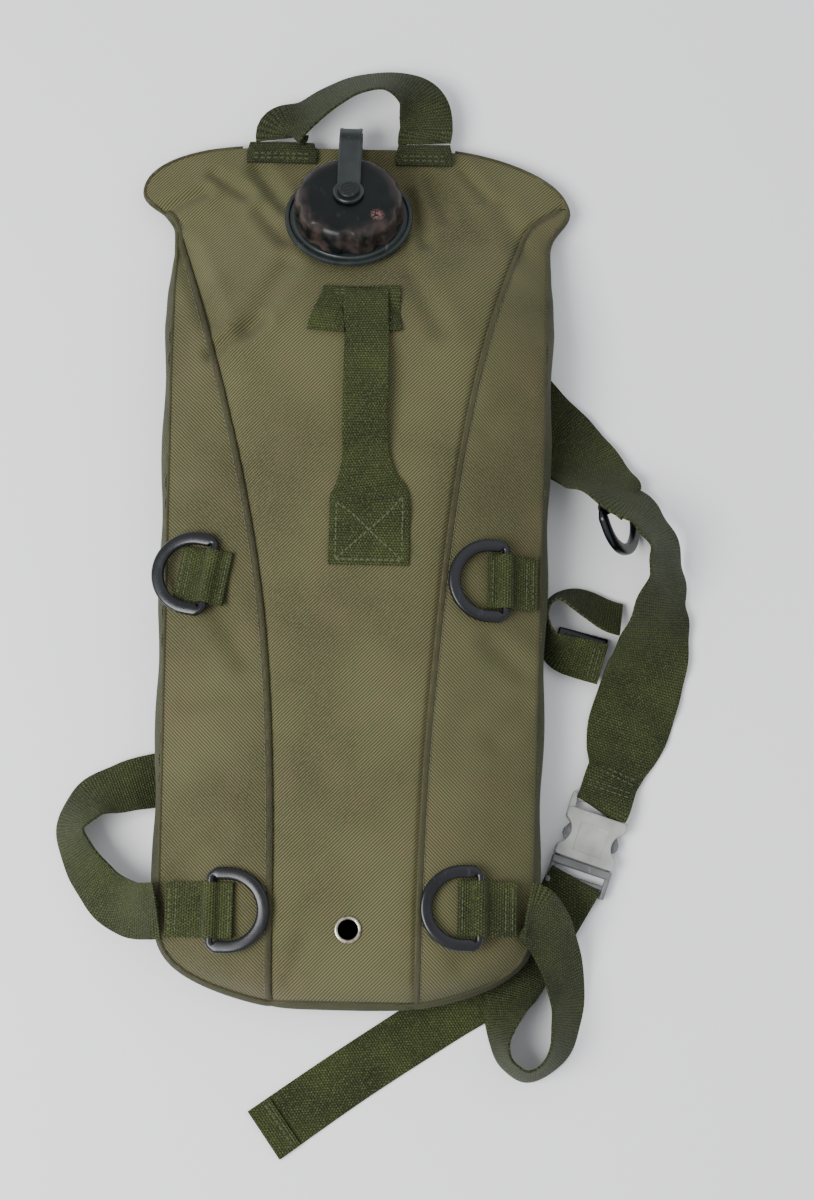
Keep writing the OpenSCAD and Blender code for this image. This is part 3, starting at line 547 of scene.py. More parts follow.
# painted shade: the front's cloth in darker greens for the shaded side wall
shaded_olive = shell_cloth("oxford_shaded_gusset", srgb(84, 90, 58), srgb(58, 64, 40), srgb(92, 88, 60))
rim, _ = spaced(np.c_[rim_path(200), np.zeros(438)], 2.6)
ahead = unit(np.gradient(rim[:, :2], axis=0))
outward = np.stack([ahead[:, 1] * -1, ahead[:, 0]], axis=1) * -1
levels = 14
gusset, s, t = cloth_grid("side_gusset_cloth", levels, len(rim) - 1)
row = np.round(t * (len(rim) - 1)).astype(int)
low = back_z(rim[row, 1]) + 1.2
high = np.maximum(low + 1.0, soft_front(rim[row, 0], rim[row, 1]) - 0.6)
swell = ((4.2 * np.sin(math.pi * s) + 0.8 * np.sin(rim[row, 1] / 13 + 4 * s))
         * np.minimum(1, (high - low) / 22))
crush = 0.5 * np.sin(row * 1.1 + 3 * np.sin(row / 9.0)) * np.exp(-((1 - s) / 0.12))
place(gusset, rim[row, 0] + outward[row, 0] * (swell + crush),
      rim[row, 1] + outward[row, 1] * (swell + crush),
      low + (high - low) * s)
lay_uv(gusset, s * 26, row * 2.6)
finish_with(gusset, "SOLIDIFY", thickness=cloth_t * MM, offset=-1)
smooth(gusset)
give(gusset, "carrier", shaded_olive, "shell_fabric", "side_gusset")

edge = np.c_[rim[:, :2] + outward * 0.4, soft_front(rim[:, 0], rim[:, 1]) - 0.5]
give(tube("front_edge_cord", edge, 1.15, 10), "carrier", olive_side, "shell_fabric")

back, s, t = cloth_grid("back_cloth", 70, 160)
y = 1.0 + 509.5 * t
x = -half_w(y, 0) + (half_w(y, 0) + half_w(y, 1)) * s
bowed = 0.3 * np.sin(x / 15 + y / 37) * np.sin(y / 23)
place(back, x, y, back_z(y) + 1.3 + bowed * np.minimum(1, np.minimum(s, 1 - s) * 12))
lay_uv(back, x, y)
finish_with(back, "SOLIDIFY", thickness=cloth_t * MM, offset=-1)
smooth(back)
give(back, "carrier", shaded_olive, "shell_fabric", "back_panel")

pad_low, pad_high, pad_half = 25.0, 380.0, 50.0
mesh_cloth, tree, shader = new_material("spacer_mesh", Roughness=0.9, Sheen_Weight=0.15)
here = add_node(tree, "ShaderNodeTexCoord").outputs["Object"]
cells = add_node(tree, "ShaderNodeTexVoronoi", {"Vector": here, "Scale": 420.0, "Randomness": 0.25})
open_holes = add_node(tree, "ShaderNodeMapRange",
                      {"Value": cells.outputs["Distance"], "From Min": 0.2, "From Max": 0.55})
tree.links.new(between(tree, open_holes.outputs[0], srgb(22, 24, 18), srgb(66, 70, 50)),
               shader.inputs["Base Color"])
emboss(tree, shader, open_holes.outputs[0], 0.7, 0.6)
pad, ball = start_from("spine_pad_foam", bpy.ops.mesh.primitive_uv_sphere_add, segments=160,
                       ring_count=64, radius=1)
turn = np.arctan2(ball[:, 1], ball[:, 0])
# a rounded rectangle seen from above, whose sides are full and whose top and bottom are flat
reach = np.hypot(ball[:, 0], ball[:, 1])
full = np.minimum(1, reach / 0.72) ** 0.8
x = pad_half * fuller(np.cos(turn), 0.28) * full
y = (pad_low + pad_high) / 2 + (pad_high - pad_low) / 2 * fuller(np.sin(turn), 0.14) * full
tall = fuller(np.clip(ball[:, 2] / 0.69, -1, 1), 0.6)
channel = sum(np.exp(-(((y - c) / 3.5) ** 2)) for c in (100, 178, 256, 334))
rise = np.where(tall < 0, tall + 0.32 * channel * np.clip(-tall, 0, 1), tall)
place(pad, x, y, np.clip(6.2 + 6.2 * rise, 0.0, 12.3))
smooth(pad, 60)
give(pad, "carrier", mesh_cloth, "pad_fabric", "spine_pad")


# ---- Inside: liner, reservoir, collar and closure ----
# Closed-cell foam lines the front, and a film reservoir full of water lies in it. Its moulded
# collar comes up through the shell, and hook-and-loop strips close the top edge.
foam, tree, shader = new_material("liner_foam", Roughness=0.85)
cells = blotches(tree, 700, 0.35, 0.65, 2)
tree.links.new(between(tree, cells, srgb(168, 168, 164), srgb(206, 206, 202)), shader.inputs["Base Color"])
emboss(tree, shader, cells, 0.4, 0.3)
liner, s, t = cloth_grid("insulation_foam", 60, 120)
y = 58 + 428 * t
edge_y = np.minimum(y, 440)
x = -half_w(edge_y, 0) + 10 + (half_w(edge_y, 0) + half_w(edge_y, 1) - 20) * s
place(liner, x, y, np.minimum(soft_front(x, y) - 2.2, front_z(x, y) - 3.0))
lay_uv(liner, x, y)
finish_with(liner, "SOLIDIFY", thickness=2.4 * MM, offset=-1)
drill(liner, *neck_at, hole_r + 1, neck_tilt)
smooth(liner)
give(liner, "carrier", foam, "foam", "insulation_liner")

film, tree, shader = new_material("reservoir_film", Roughness=0.16, Alpha=0.82, IOR=1.45, Coat_Weight=0.4)
tree.links.new(between(tree, blotches(tree, 30, 0.4, 0.6), srgb(150, 186, 214), srgb(178, 208, 228)),
               shader.inputs["Base Color"])
bag, ball = start_from("reservoir_film_bag", bpy.ops.mesh.primitive_uv_sphere_add, segments=96,
                       ring_count=120, radius=1)
t = (1 - np.arccos(np.clip(ball[:, 2], -1, 1)) / math.pi)
y = 63 + 420 * t
turn = np.arctan2(ball[:, 1], ball[:, 0])
fill = np.clip(1 - np.abs(2 * t - 1) ** 7, 0.0, 1) ** 0.5
top_z, low_z = crown_z(y) - 7.0, back_z(y) + 2.6
wrinkle = 1 - 0.02 * np.sin(turn * 9 + y / 8) * (1 - fill * 0.7)
half_z = np.maximum(0.6, (top_z - low_z) / 2 - 0.6) * fill
pole = np.hypot(ball[:, 0], ball[:, 1]) < 1e-4
x = np.where(pole, 0, 90 * (0.8 + 0.2 * fill) * fuller(np.cos(turn), 0.77) * wrinkle)
place(bag, x, y, (top_z + low_z) / 2 + np.where(pole, 0, half_z * fuller(np.sin(turn), 0.77) * wrinkle))
smooth(bag, 80)
give(bag, "carrier", film, "film", "reservoir_bag")


def moulded(name, dark, light, rough, scuff_and_glint, coat=0.0, shine=0.5):
    """Moulded plastic: fine grain, slow cloudy wear, and paler scuffs where it is rubbed."""
    material, tree, shader = new_material(name, Coat_Weight=coat, Coat_Roughness=0.25)
    shader.inputs["Specular IOR Level"].default_value = shine
    cloud = blotches(tree, 60, 0.35, 0.7)
    ground = between(tree, cloud, dark, light)
    here = add_node(tree, "ShaderNodeTexCoord").outputs["Object"]
    long_way = add_node(tree, "ShaderNodeMapping",
                        {"Vector": here, "Scale": (160, 30, 90), "Rotation": (0, 0, 0.5)})
    streak = add_node(tree, "ShaderNodeTexNoise",
                      {"Vector": long_way.outputs[0], "Scale": 1.6, "Detail": 6.0})
    marks = add_node(tree, "ShaderNodeMapRange",
                     {"Value": streak.outputs[0], "From Min": 0.64, "From Max": 0.74})
    worn = between(tree, arithmetic(tree, "MULTIPLY", marks.outputs[0], 0.35), ground, scuff_and_glint)
    tree.links.new(worn, shader.inputs["Base Color"])
    sheen = add_node(tree, "ShaderNodeMapRange", {"Value": cloud, "To Min": rough, "To Max": rough + 0.14})
    tree.links.new(sheen.outputs[0], shader.inputs["Roughness"])
    emboss(tree, shader, blotches(tree, 1400, 0.3, 0.7, 2), 0.12, 0.1)
    return material


cap_plastic = moulded("cap_plastic", srgb(12, 17, 18), srgb(22, 27, 28), 0.34, srgb(96, 90, 84),
                      shine=0.35)
ring_plastic = moulded("ring_plastic", srgb(5, 7, 11), srgb(12, 15, 21), 0.2, srgb(56, 60, 70), 0.1, 0.4)
tether_plastic = moulded("tether_plastic", srgb(28, 34, 34), srgb(44, 50, 48), 0.3, srgb(110, 112, 108),
                         shine=0.4)
seal_rubber = moulded("seal_rubber", srgb(120, 120, 118), srgb(140, 140, 138), 0.6, srgb(170, 170, 168))
touch_tape, tree, shader = new_material("touch_tape", Roughness=0.95, Sheen_Weight=0.2)
hooks = blotches(tree, 1500, 0.4, 0.6, 1)
tree.links.new(between(tree, hooks, srgb(12, 12, 12), srgb(46, 46, 44)), shader.inputs["Base Color"])
emboss(tree, shader, hooks, 0.8, 0.5)
for node_name, material in (("neck_collar", cap_plastic), ("outlet_elbow", cap_plastic),
                            ("cap_seal", seal_rubber), ("loop_strip", touch_tape),
                            ("hook_strip", touch_tape)):
    nodes[node_name].data.materials.clear()
    nodes[node_name].data.materials.append(material)


# ---- Drain eyelet ----
# A two-part plated eyelet set through the front near the bottom: a rolled flange outside and a
# washer inside, a little tarnished in the roll.
def turned(name, profile, segments, lobes=None, closed_on_axis=True):
    """A turned piece about the z axis. On the axis it is a ball's rings, else a ring's section."""
    profile = np.array(profile, float)
    if closed_on_axis:
        obj, ball = start_from(name, bpy.ops.mesh.primitive_uv_sphere_add, segments=segments,
                               ring_count=len(profile) - 1, radius=1)
        k = np.round(np.arccos(np.clip(ball[:, 2], -1, 1)) / math.pi * (len(profile) - 1)).astype(int)
    else:
        obj, ball = start_from(name, bpy.ops.mesh.primitive_torus_add, major_segments=segments,
                               minor_segments=len(profile), major_radius=2, minor_radius=1)
        around = np.arctan2(ball[:, 2], np.hypot(ball[:, 0], ball[:, 1]) - 2)
        k = np.round(around / (2 * math.pi) * len(profile)).astype(int) % len(profile)
    turn = np.arctan2(ball[:, 1], ball[:, 0])
    r, z = profile[k, 0], profile[k, 1]
    if lobes is not None:
        r = lobes(r, z, turn)
    return obj, r * np.cos(turn), r * np.sin(turn), z


eyelet_metal, tree, shader = new_material("eyelet_metal", Metallic=1.0)
tarnish = blotches(tree, 220, 0.4, 0.65)
tree.links.new(between(tree, tarnish, srgb(206, 200, 188), srgb(132, 122, 104)),
               shader.inputs["Base Color"])
dull = add_node(tree, "ShaderNodeMapRange", {"Value": tarnish, "To Min": 0.18, "To Max": 0.42})
tree.links.new(dull.outputs[0], shader.inputs["Roughness"])
roll = [(6.6 + 1.0 * math.cos(a), 0.25 + 0.8 * math.sin(a)) for a in np.linspace(-0.6, math.pi, 12)]
barrel = [(5.6, -0.4), (5.52, -1.2), (5.52, -4.2), (5.95, -4.35), (6.0, -1.2), (6.3, -0.35)]
eyelet, x, y, z = turned("drain_eyelet_metal", roll + barrel, 96, closed_on_axis=False)
place(eyelet, drain_at[0] + x, drain_at[1] + y, 58.3 + z)
close_up(eyelet, 50)
give(eyelet, "carrier", eyelet_metal, "eyelet_metal", "drain_eyelet")
nodes["drain_washer"].data.materials.clear()
nodes["drain_washer"].data.materials.append(eyelet_metal)


# ---- Filler neck: flange, cap, button and tether ----
# The collar's flange stands on the shell. A scalloped screw cap covers the neck, and a soft strap
# moulded on the flange runs up to an eye held on the cap by a button.
def frame_at(x, y, z, *turns):
    """Where a piece built in its own millimetres stands: a place, then turns about its own axes."""
    matrix = Matrix.Diagonal((MM, MM, MM, 1)) @ Matrix.Translation((x, y - pack_h / 2, z))
    for axis, degrees in turns:
        if axis == "mirror":
            matrix = matrix @ Matrix.Diagonal((-1, 1, 1, 1))
        else:
            matrix = matrix @ Matrix.Rotation(math.radians(degrees), 4, axis)
    return matrix


def settle(obj, matrix, angle=40):
    """Moves a piece's mesh to its place and turns its faces outwards."""
    obj.data.transform(matrix)
    close_up(obj, angle)
    return obj


def shape(obj, x, y, z):
    """Moves a piece's vertices within its own millimetres."""
    obj.data.vertices.foreach_set("co", np.stack(np.broadcast_arrays(x, y, z), axis=-1).ravel())
    obj.data.update()
    return obj


neck = frame_at(*neck_at, ("X", -25))
flange, x, y, z = turned("tether_flange", [(27.1, 0.3), (37.2, 0.3), (37.9, 0.8), (38.0, 2.4), (37.5, 3.3),
                                           (36.6, 3.5), (35.7, 3.3), (34.9, 2.2), (33.6, 2.0), (32.8, 2.2),
                                           (32.3, 2.8), (27.1, 2.8)], 160, closed_on_axis=False)
give(settle(shape(flange, x, y, z), neck), "tether", tether_plastic, "tether_rubber", "tether_ring")


def scallop(r, z, turn):
    """Ten finger grips round the skirt, running out below the cap's rounded shoulder."""
    off = (turn / (math.pi / 5)) % 1.0 - 0.5
    off = off * math.pi / 5
    bite = 38.4 * np.cos(off) - np.sqrt(np.maximum(64 - (38.4 * np.sin(off)) ** 2, 0))
    bite = np.where(38.4 * np.abs(np.sin(off)) < 8, bite, 99)
    dip = np.maximum(0, 32.0 - bite) * np.clip((21.6 - z) / 3.5, 0, 1)
    return np.where(r > 29, r - dip, r)


cap_rows = [(0, 18.8), (14, 18.8), (27, 18.8), (27.5, 18.3), (27.5, 4.2), (28, 3.6), (31.2, 3.6),
            (31.8, 3.8), (32.0, 4.4), (31.9, 5.4), (32.0, 8), (32, 11), (32, 13.5), (31.95, 15),
            (31.8, 16.4), (31.5, 17.6), (31.0, 18.7), (30.3, 19.7), (29.4, 20.5), (28.3, 21.1),
            (27.1, 21.5), (25.8, 21.75), (24.2, 21.85), (22, 21.9), (18, 21.9), (10, 21.95), (0, 22)]
cap_wear = moulded("cap_worn_plastic", srgb(5, 10, 10), srgb(13, 19, 19), 0.3, srgb(74, 70, 66),
                   shine=0.25)
tree, shader = cap_wear.node_tree, cap_wear.node_tree.nodes["Principled BSDF"]
spot = add_node(tree, "ShaderNodeTexCoord").outputs["Object"]
middle = add_node(tree, "ShaderNodeVectorMath", {0: spot, 1: (-0.008, 0.2138, 0.0519)},
                  operation="DISTANCE")
rim = add_node(tree, "ShaderNodeMapRange",
               {"Value": middle.outputs["Value"], "From Min": 0.023, "From Max": 0.031})
rubbed = arithmetic(tree, "MULTIPLY", rim.outputs[0],
                    arithmetic(tree, "MULTIPLY", blotches(tree, 90, 0.35, 0.6), 0.55))
base = between(tree, rubbed, shader.inputs["Base Color"].links[0].from_socket, srgb(84, 70, 64))
# painted highlight: a small pale spot on the lower edge of the cap's top
centre = add_node(tree, "ShaderNodeVectorMath", {0: spot, 1: (0.009, 0.1993, 0.0587)},
                  operation="DISTANCE")
scuff_and_glint = add_node(tree, "ShaderNodeMapRange",
                 {"Value": centre.outputs["Value"], "From Min": 0.005, "From Max": 0.002})
glint_patches = arithmetic(tree, "MULTIPLY", scuff_and_glint.outputs[0], blotches(tree, 700, 0.45, 0.55, 2))
tree.links.new(between(tree, arithmetic(tree, "MULTIPLY", glint_patches, 0.7), base, srgb(128, 92, 86)),
               shader.inputs["Base Color"])
cap, x, y, z = turned("screw_cap_shell", cap_rows, 240, scallop)
give(settle(shape(cap, x, y, z), neck, 50), "cap", cap_wear, "cap_plastic", "screw_cap")
button, x, y, z = turned("tether_button_head",
                         [(0, 20.5), (3.5, 20.6), (3.5, 24.3), (5.6, 24.6), (6.0, 25.0), (5.9, 25.7),
                          (5.3, 26.2), (4.6, 26.3), (4.1, 26.0), (3.6, 26.0), (3.1, 26.3), (2.4, 26.4),
                          (1.9, 26.1), (1.4, 26.1), (0.9, 26.4), (0, 26.5)], 64)
give(settle(shape(button, x, y, z), neck, 50), "cap", cap_plastic, "cap_plastic", "tether_button")


def band(name, rows, thick, across=14, shape_of=None, gap=1.6):
    """A flat band along a route of [x, y, z, roll, width], and the route it follows."""
    path, at = spaced(smooth_path(rows, 12), gap)
    ahead = unit(np.gradient(path[:, :3], axis=0))
    level = unit(np.cross(ahead, [0.0, 0.0, 1.0]))
    roll = np.radians(path[:, 3])[:, None]
    side = level * np.cos(roll) + np.cross(level, ahead) * np.sin(roll)
    lift = np.cross(side, ahead)
    obj, s, t = cloth_grid(name, across, len(path) - 1)
    k = np.round(t * (len(path) - 1)).astype(int)
    v = (s - 0.5) * path[k, 4]
    rise = 0 if shape_of is None else shape_of(at[k], v, at[-1])
    points = path[k, :3] + side[k] * v[:, None] + lift[k] * np.broadcast_to(rise, v.shape)[:, None]
    shape(obj, points[:, 0], points[:, 1], points[:, 2])
    lay_uv(obj, at[k], v)
    finish_with(obj, "SOLIDIFY", thickness=thick, offset=0)
    return obj, (path, at, side, lift)


side_view = [(6.5, 23.3), (18, 25.6), (37, 25.4), (51.5, 20.6), (59.5, 13.8), (59.5, 9.5), (52, 5.6),
             (45, 3.8), (39.4, 3.2)]
tether, _ = band("tether_strap_moulding", [[0, y, z, 0, 13] for y, z in side_view], 1.7, 16,
                 lambda u, v, full: 0.45 * np.exp(-(((np.abs(v) - 5.7) / 0.7) ** 2)), 1.2)
finish_with(tether, "BEVEL", width=0.4, segments=2, limit_method="ANGLE")
give(settle(tether, neck), "tether", tether_plastic, "tether_rubber", "tether_strap")
eye, x, y, z = turned("tether_eye", [(3.8, 22.4), (8.6, 22.4), (9.0, 22.8), (9.0, 24.2), (8.5, 24.7),
                                     (7.7, 24.6), (7.2, 24.2), (3.8, 24.2)], 72, closed_on_axis=False)
give(settle(shape(eye, x, y, z), neck), "tether", tether_plastic, "tether_rubber")


# ---- Webbing: material and helpers ----
# Every strap is woven nylon webbing 1.5 mm thick: fine ribs across it, painted darker in their grooves as
# shade and dotted with painted highlights where the yarns cross. Ends are folded into hems and sewn.
def webbing_group():
    """Ribs and yarn dots of webbing whose UV runs along and across the strap in metres."""
    group = bpy.data.node_groups.new("webbing_weave", "ShaderNodeTree")
    group.interface.new_socket("Place", in_out="INPUT", socket_type="NodeSocketVector")
    group.interface.new_socket("Height", in_out="OUTPUT", socket_type="NodeSocketFloat")
    group.interface.new_socket("Dots", in_out="OUTPUT", socket_type="NodeSocketFloat")
    ends = add_node(group, "NodeGroupInput")
    split = add_node(group, "ShaderNodeSeparateXYZ", {0: ends.outputs["Place"]})
    ribs = arithmetic(group, "DIVIDE", split.outputs[0], 1.5 * MM)
    rib = arithmetic(group, "SINE", arithmetic(group, "MULTIPLY", ribs, 2 * math.pi))
    odd = arithmetic(group, "MULTIPLY", arithmetic(group, "FLOOR", ribs), math.pi)
    yarn = arithmetic(group, "DIVIDE", split.outputs[1], 1.7 * MM)
    dots = arithmetic(group, "SINE",
                      arithmetic(group, "ADD", arithmetic(group, "MULTIPLY", yarn, 2 * math.pi), odd))
    out = add_node(group, "NodeGroupOutput")
    height = arithmetic(group, "ADD", arithmetic(group, "MULTIPLY", rib, 0.34),
                        arithmetic(group, "MULTIPLY", dots, 0.16))
    group.links.new(arithmetic(group, "ADD", height, 0.5), out.inputs["Height"])
    group.links.new(arithmetic(group, "ADD", arithmetic(group, "MULTIPLY", dots, 0.5), 0.5),
                    out.inputs["Dots"])
    return group


ribbed = webbing_group()


def webbing(name, light, dark, pale):
    """A webbing in two greens, with painted shade in its rib grooves and pale painted highlights where its
    yarns catch the light.
    """
    material, tree, shader = new_material(name, Roughness=0.75, Sheen_Weight=0.03)
    shader.inputs["Specular IOR Level"].default_value = 0.22
    here = add_node(tree, "ShaderNodeTexCoord").outputs["UV"]
    weave = add_node(tree, "ShaderNodeGroup", node_tree=ribbed)
    tree.links.new(here, weave.inputs["Place"])
    ground = between(tree, blotches(tree, 40, 0.35, 0.7), dark, light)
    # painted shade: the rib grooves darkened
    ground = between(tree, weave.outputs["Height"],
                     between(tree, 0.9, ground, srgb(36, 40, 20), "MULTIPLY"), ground)
    yarn_glints = arithmetic(tree, "MULTIPLY", weave.outputs["Dots"], blotches(tree, 1300, 0.45, 0.65, 1))
    tree.links.new(between(tree, arithmetic(tree, "MULTIPLY", yarn_glints, 0.45), ground, pale),
                   shader.inputs["Base Color"])
    emboss(tree, shader, weave.outputs["Height"], 0.85, 0.6)
    return material


web = webbing("webbing_green", srgb(64, 72, 34), srgb(42, 50, 20), srgb(112, 120, 66))
web_faded = webbing("webbing_faded", srgb(58, 65, 35), srgb(38, 44, 20), srgb(100, 106, 66))
web_shoulder = webbing("webbing_shoulder", srgb(64, 71, 36), srgb(42, 49, 22), srgb(106, 114, 64))


def soften(depth, seed):
    """A used strap's gentle waves, stronger near its edges."""
    return lambda u, v, full: depth * (np.sin(u / 8.3 + seed) * np.sin(v / 7 + u / 19 + 2 * seed)
                                       + 0.5 * np.sin(u / 3.7 + 3 * seed) * (np.abs(v) / 12) ** 2)


def strap(name, rows, body, node, material=web, wavy=0.35, seed=0.0, width=32, thick=1.45, gap=1.6,
          frame_of=None, slot="webbing"):
    """A strap on its body for a CAD node; a row without a roll or width lies flat or takes the width."""
    rows = [list(row) + [0, width][len(row) - 3:] for row in rows]
    obj, route = band(name, rows, thick, 14, soften(wavy, seed), gap)
    finish_with(obj, "BEVEL", width=0.3, segments=2, limit_method="ANGLE", angle_limit=math.radians(50))
    settle(obj, frame_of or frame_at(0, 0, 0), 50)
    give(obj, body, material, slot, *([node] if node else []))
    return route


def on_strap(route, u, v, lift=0.85):
    """Points on a strap's outer face, at distances along it (from its end if negative) and across."""
    path, at, side, up = route
    u, v = np.broadcast_arrays(np.asarray(u, float), np.asarray(v, float))
    u = np.where(u < 0, at[-1] + u, u)
    def along(column):
        return np.stack([np.interp(u, at, column[:, k]) for k in range(3)], axis=-1)
    return along(path) + along(side) * v[..., None] + along(up) * lift


def hem(name, route, spots, half, body="carrier", lift=0.85):
    """Rows of stitches straight across a strap."""
    rows = [on_strap(route, np.full(9, u), np.linspace(-half, half, 9), lift) for u in spots]
    sew(name, rows, web_thread, body, "webbing", thick=0.42)


# ---- Carrying strap ----
# A narrow strap sewn under a wide folded anchor below the cap; it runs down the middle, slack and
# arched, to a wide patch held by a boxed cross of heavy thread.
def on_front(x, y, lift):
    return [x, y, float(soft_front(np.array(float(x)), np.array(float(y)))) + lift]


carry = strap("carry_strap_webbing", [on_front(4, 411, 3.4) + [0, 26], on_front(4, 400, 3.8) + [0, 26],
                                      [5, 380, 61, -3, 26], [5, 362, 65, -2, 26], [5, 345, 66, 2, 26],
                                      [5, 327, 65, 4, 26], [6, 311, 61.5, 2, 27], [7, 298, 59.6, 0, 34],
                                      on_front(8, 290, 1.3) + [0, 44], on_front(9, 280, 1.3) + [0, 46],
                                      on_front(9, 264, 1.3) + [0, 46], on_front(9, 247, 1.3) + [0, 46]],
              "carrier", "carry_strap", web, 0.3, 1.0)
anchor = strap("carry_anchor_webbing", [on_front(1, 413.5, 1.6) + [0, 45], on_front(1, 406, 1.8) + [0, 46],
                                        on_front(0, 398, 1.8) + [0, 49], on_front(-1, 387, 1.4) + [0, 52]],
               "carrier", "carry_anchor", web, 0.45, 2.2)
strap("carry_anchor_fold", [on_front(-19, 409, 2.6) + [6, 7], on_front(-18, 402, 3.6) + [10, 13],
                            on_front(-18, 394, 4.2) + [6, 19], on_front(-19, 384, 3.0) + [-6, 22]],
      "carrier", None, web, 0.6, 4.0)
hem("carry_anchor_stitches", anchor, (3, 6, -4, -8), 20)
box = [(-3, -19), (-38, -19), (-38, 19), (-3, 19), (-3, -19), (-38, 19), (-38, -19), (-3, 19)]
lines = [on_strap(carry, np.linspace(a[0], b[0], 12), np.linspace(a[1], b[1], 12))
         for a, b in zip(box, box[1:])]
sew("carry_patch_stitches", lines, web_thread, "carrier", "webbing", 3.2, 0.4, 0.62)


# ---- Grab handle ----
# A loop of webbing standing off the top edge and leaning over; its ends are sewn into two folded
# anchors of doubled webbing, on which it can swing.
strap("grab_handle_webbing", [
    [36, 514.1, 14.5, 0], [36, 517.5, 14.8, 0], [37, 523, 16, 0], [35, 535, 19, -12], [27, 545, 22, -36],
    [12, 550, 23, -52], [-6, 547, 23, -52], [-22, 539, 22, -48], [-36, 529, 20, -42],
    [-47, 522.4, 17.4, -18], [-50, 518.4, 15.6, -2], [-50, 515.1, 15, 0]],
    "handle", "grab_handle", web_faded, 0.06, 0.4)
for tag, x, wide in (("left", -50, 42), ("right", 36, 34)):
    top = 512.9
    fold = strap("handle_anchor_cloth_" + tag, [[x, 500, 14.9, 0, wide], [x, 506, 14.9, 0, wide],
                                                [x, top, 14.5, 0, wide * 0.92]],
                 "carrier", "handle_anchor_" + tag, web_faded, 0.35, x / 9, thick=2.9, gap=1.0)
    hem("handle_anchor_stitches_" + tag, fold, (2.6, 5.4), wide / 2 - 4, "carrier", 1.5)


# ---- D-rings on webbing tabs ----
# Four moulded D-rings hang on short doubled tabs: two rows of stitches at one end of the tab and one row
# at the other hold it to the shell, and the ring's round bar turns freely in the fold.
bar_r = 2.25
band_half = 3.5
bow_r = 20.5
leg = 9.75
bar_lift = 4.75


def d_ring(name, body, node, frame_of):
    """A D: round bar, two legs and a broad flat bow, its section blended from bar to bow."""
    corner = 3.0
    path = [(0, v) for v in np.linspace(-17, 17, 12)]
    path += [(corner - corner * math.cos(a), bow_r - corner + corner * math.sin(a))
             for a in np.linspace(0, 1.57, 7)[1:]]
    path += [(leg + bow_r * math.sin(a), bow_r * math.cos(a)) for a in np.linspace(0, math.pi, 60)]
    path += [(corner - corner * math.sin(a), -bow_r + corner - corner * math.cos(a))
             for a in np.linspace(0, 1.57, 7)[:-1]]
    path = np.array(path + [path[0]])
    even, _ = spaced(np.c_[path, np.zeros(len(path))], 0.95)
    even = even[:-1]
    ahead = unit(np.roll(even, -1, axis=0) - np.roll(even, 1, axis=0))
    obj, ball = start_from(name, bpy.ops.mesh.primitive_torus_add, major_segments=len(even),
                           minor_segments=20, major_radius=2, minor_radius=1)
    k = np.round(np.arctan2(ball[:, 1], ball[:, 0]) / (2 * math.pi) * len(even)).astype(int) % len(even)
    around = np.arctan2(ball[:, 2], np.hypot(ball[:, 0], ball[:, 1]) - 2)
    flatness = ease((even[k, 0] - 1.0) / 3.0)
    power = 1 - 0.45 * flatness
    wide = bar_r + (band_half - bar_r) * flatness
    u = fuller(np.cos(around), power) * wide
    v = fuller(np.sin(around), power) * bar_r
    shape(obj, even[k, 0] + ahead[k, 1] * u, even[k, 1] - ahead[k, 0] * u, v)
    give(settle(obj, frame_of, 50), body, ring_plastic, "ring_plastic", node)


def ring_tab(name, node, outer, inner, frame_of, width=31, body="carrier"):
    """The doubled tab: a flat base, and a top layer that rises over the ring's bar."""
    base = [[x, 0, -3.1, 0] for x in (-outer, -outer / 2, 0, inner)]
    strap(name + "_base", base, body, None, web, 0.15, outer, width, 1.3, 1.6, frame_of)
    hump = [(-outer, -1.7), (-outer * 0.55, -1.7), (-5.6, -1.5), (-4.1, -0.4), (-2.9, 1.9), (-1.4, 3.1),
            (0, 3.4), (1.4, 3.1), (2.9, 1.9), (4.1, -0.4), (5.4, -1.5), (inner * 0.75, -1.7),
            (inner, -1.7)]
    top = strap(name + "_top", [[x, 0, z, 0] for x, z in hump], body, node, web, 0.12, inner, width,
                1.3, 0.8, frame_of)
    half = width / 2 - 3
    rows = [on_strap(top, np.full(9, u), np.linspace(-half, half, 9), 0.7)
            for u in (2.5, 6.5, -2.2) if abs(u) < outer]
    rows = [np.array([frame_of @ Vector(p) for p in row]) / MM + [0, pack_h / 2, 0] for row in rows]
    sew(name + "_stitches", rows, web_thread, body, "webbing", thick=0.42)


ring_spots = {"lower_left": (0, -75, 50, 27, 13, 0, 15, 5), "lower_right": (1, 76, 54, 22, 12, 0, 15, 5),
              "upper_left": (0, -82, 239, 20, 11, -10, 17, 0),
              "upper_right": (1, 88, 240, 20, 10, 0, 22, 11)}
for tag, (side, x, y, outer, inner, yaw, tab_slope, ring_slope) in ring_spots.items():
    height = float(front_z(np.array(float(x)), np.array(float(y)))) + bar_lift
    turns = [("mirror", 1)] * side + [("Z", yaw)]
    ring_tab("tab_webbing_" + tag, "tab_" + tag, outer, inner,
             frame_at(x, y, height, *turns, ("Y", -tab_slope)))
    if tag == "upper_left":
        turns = turns + [("Y", -ring_slope), ("Z", 180), ("Y", 9)]
    else:
        turns = turns + [("Y", -ring_slope)]
    d_ring("d_ring_" + tag, "ring_" + tag, "ring_" + tag, frame_at(x, y, height, *turns))


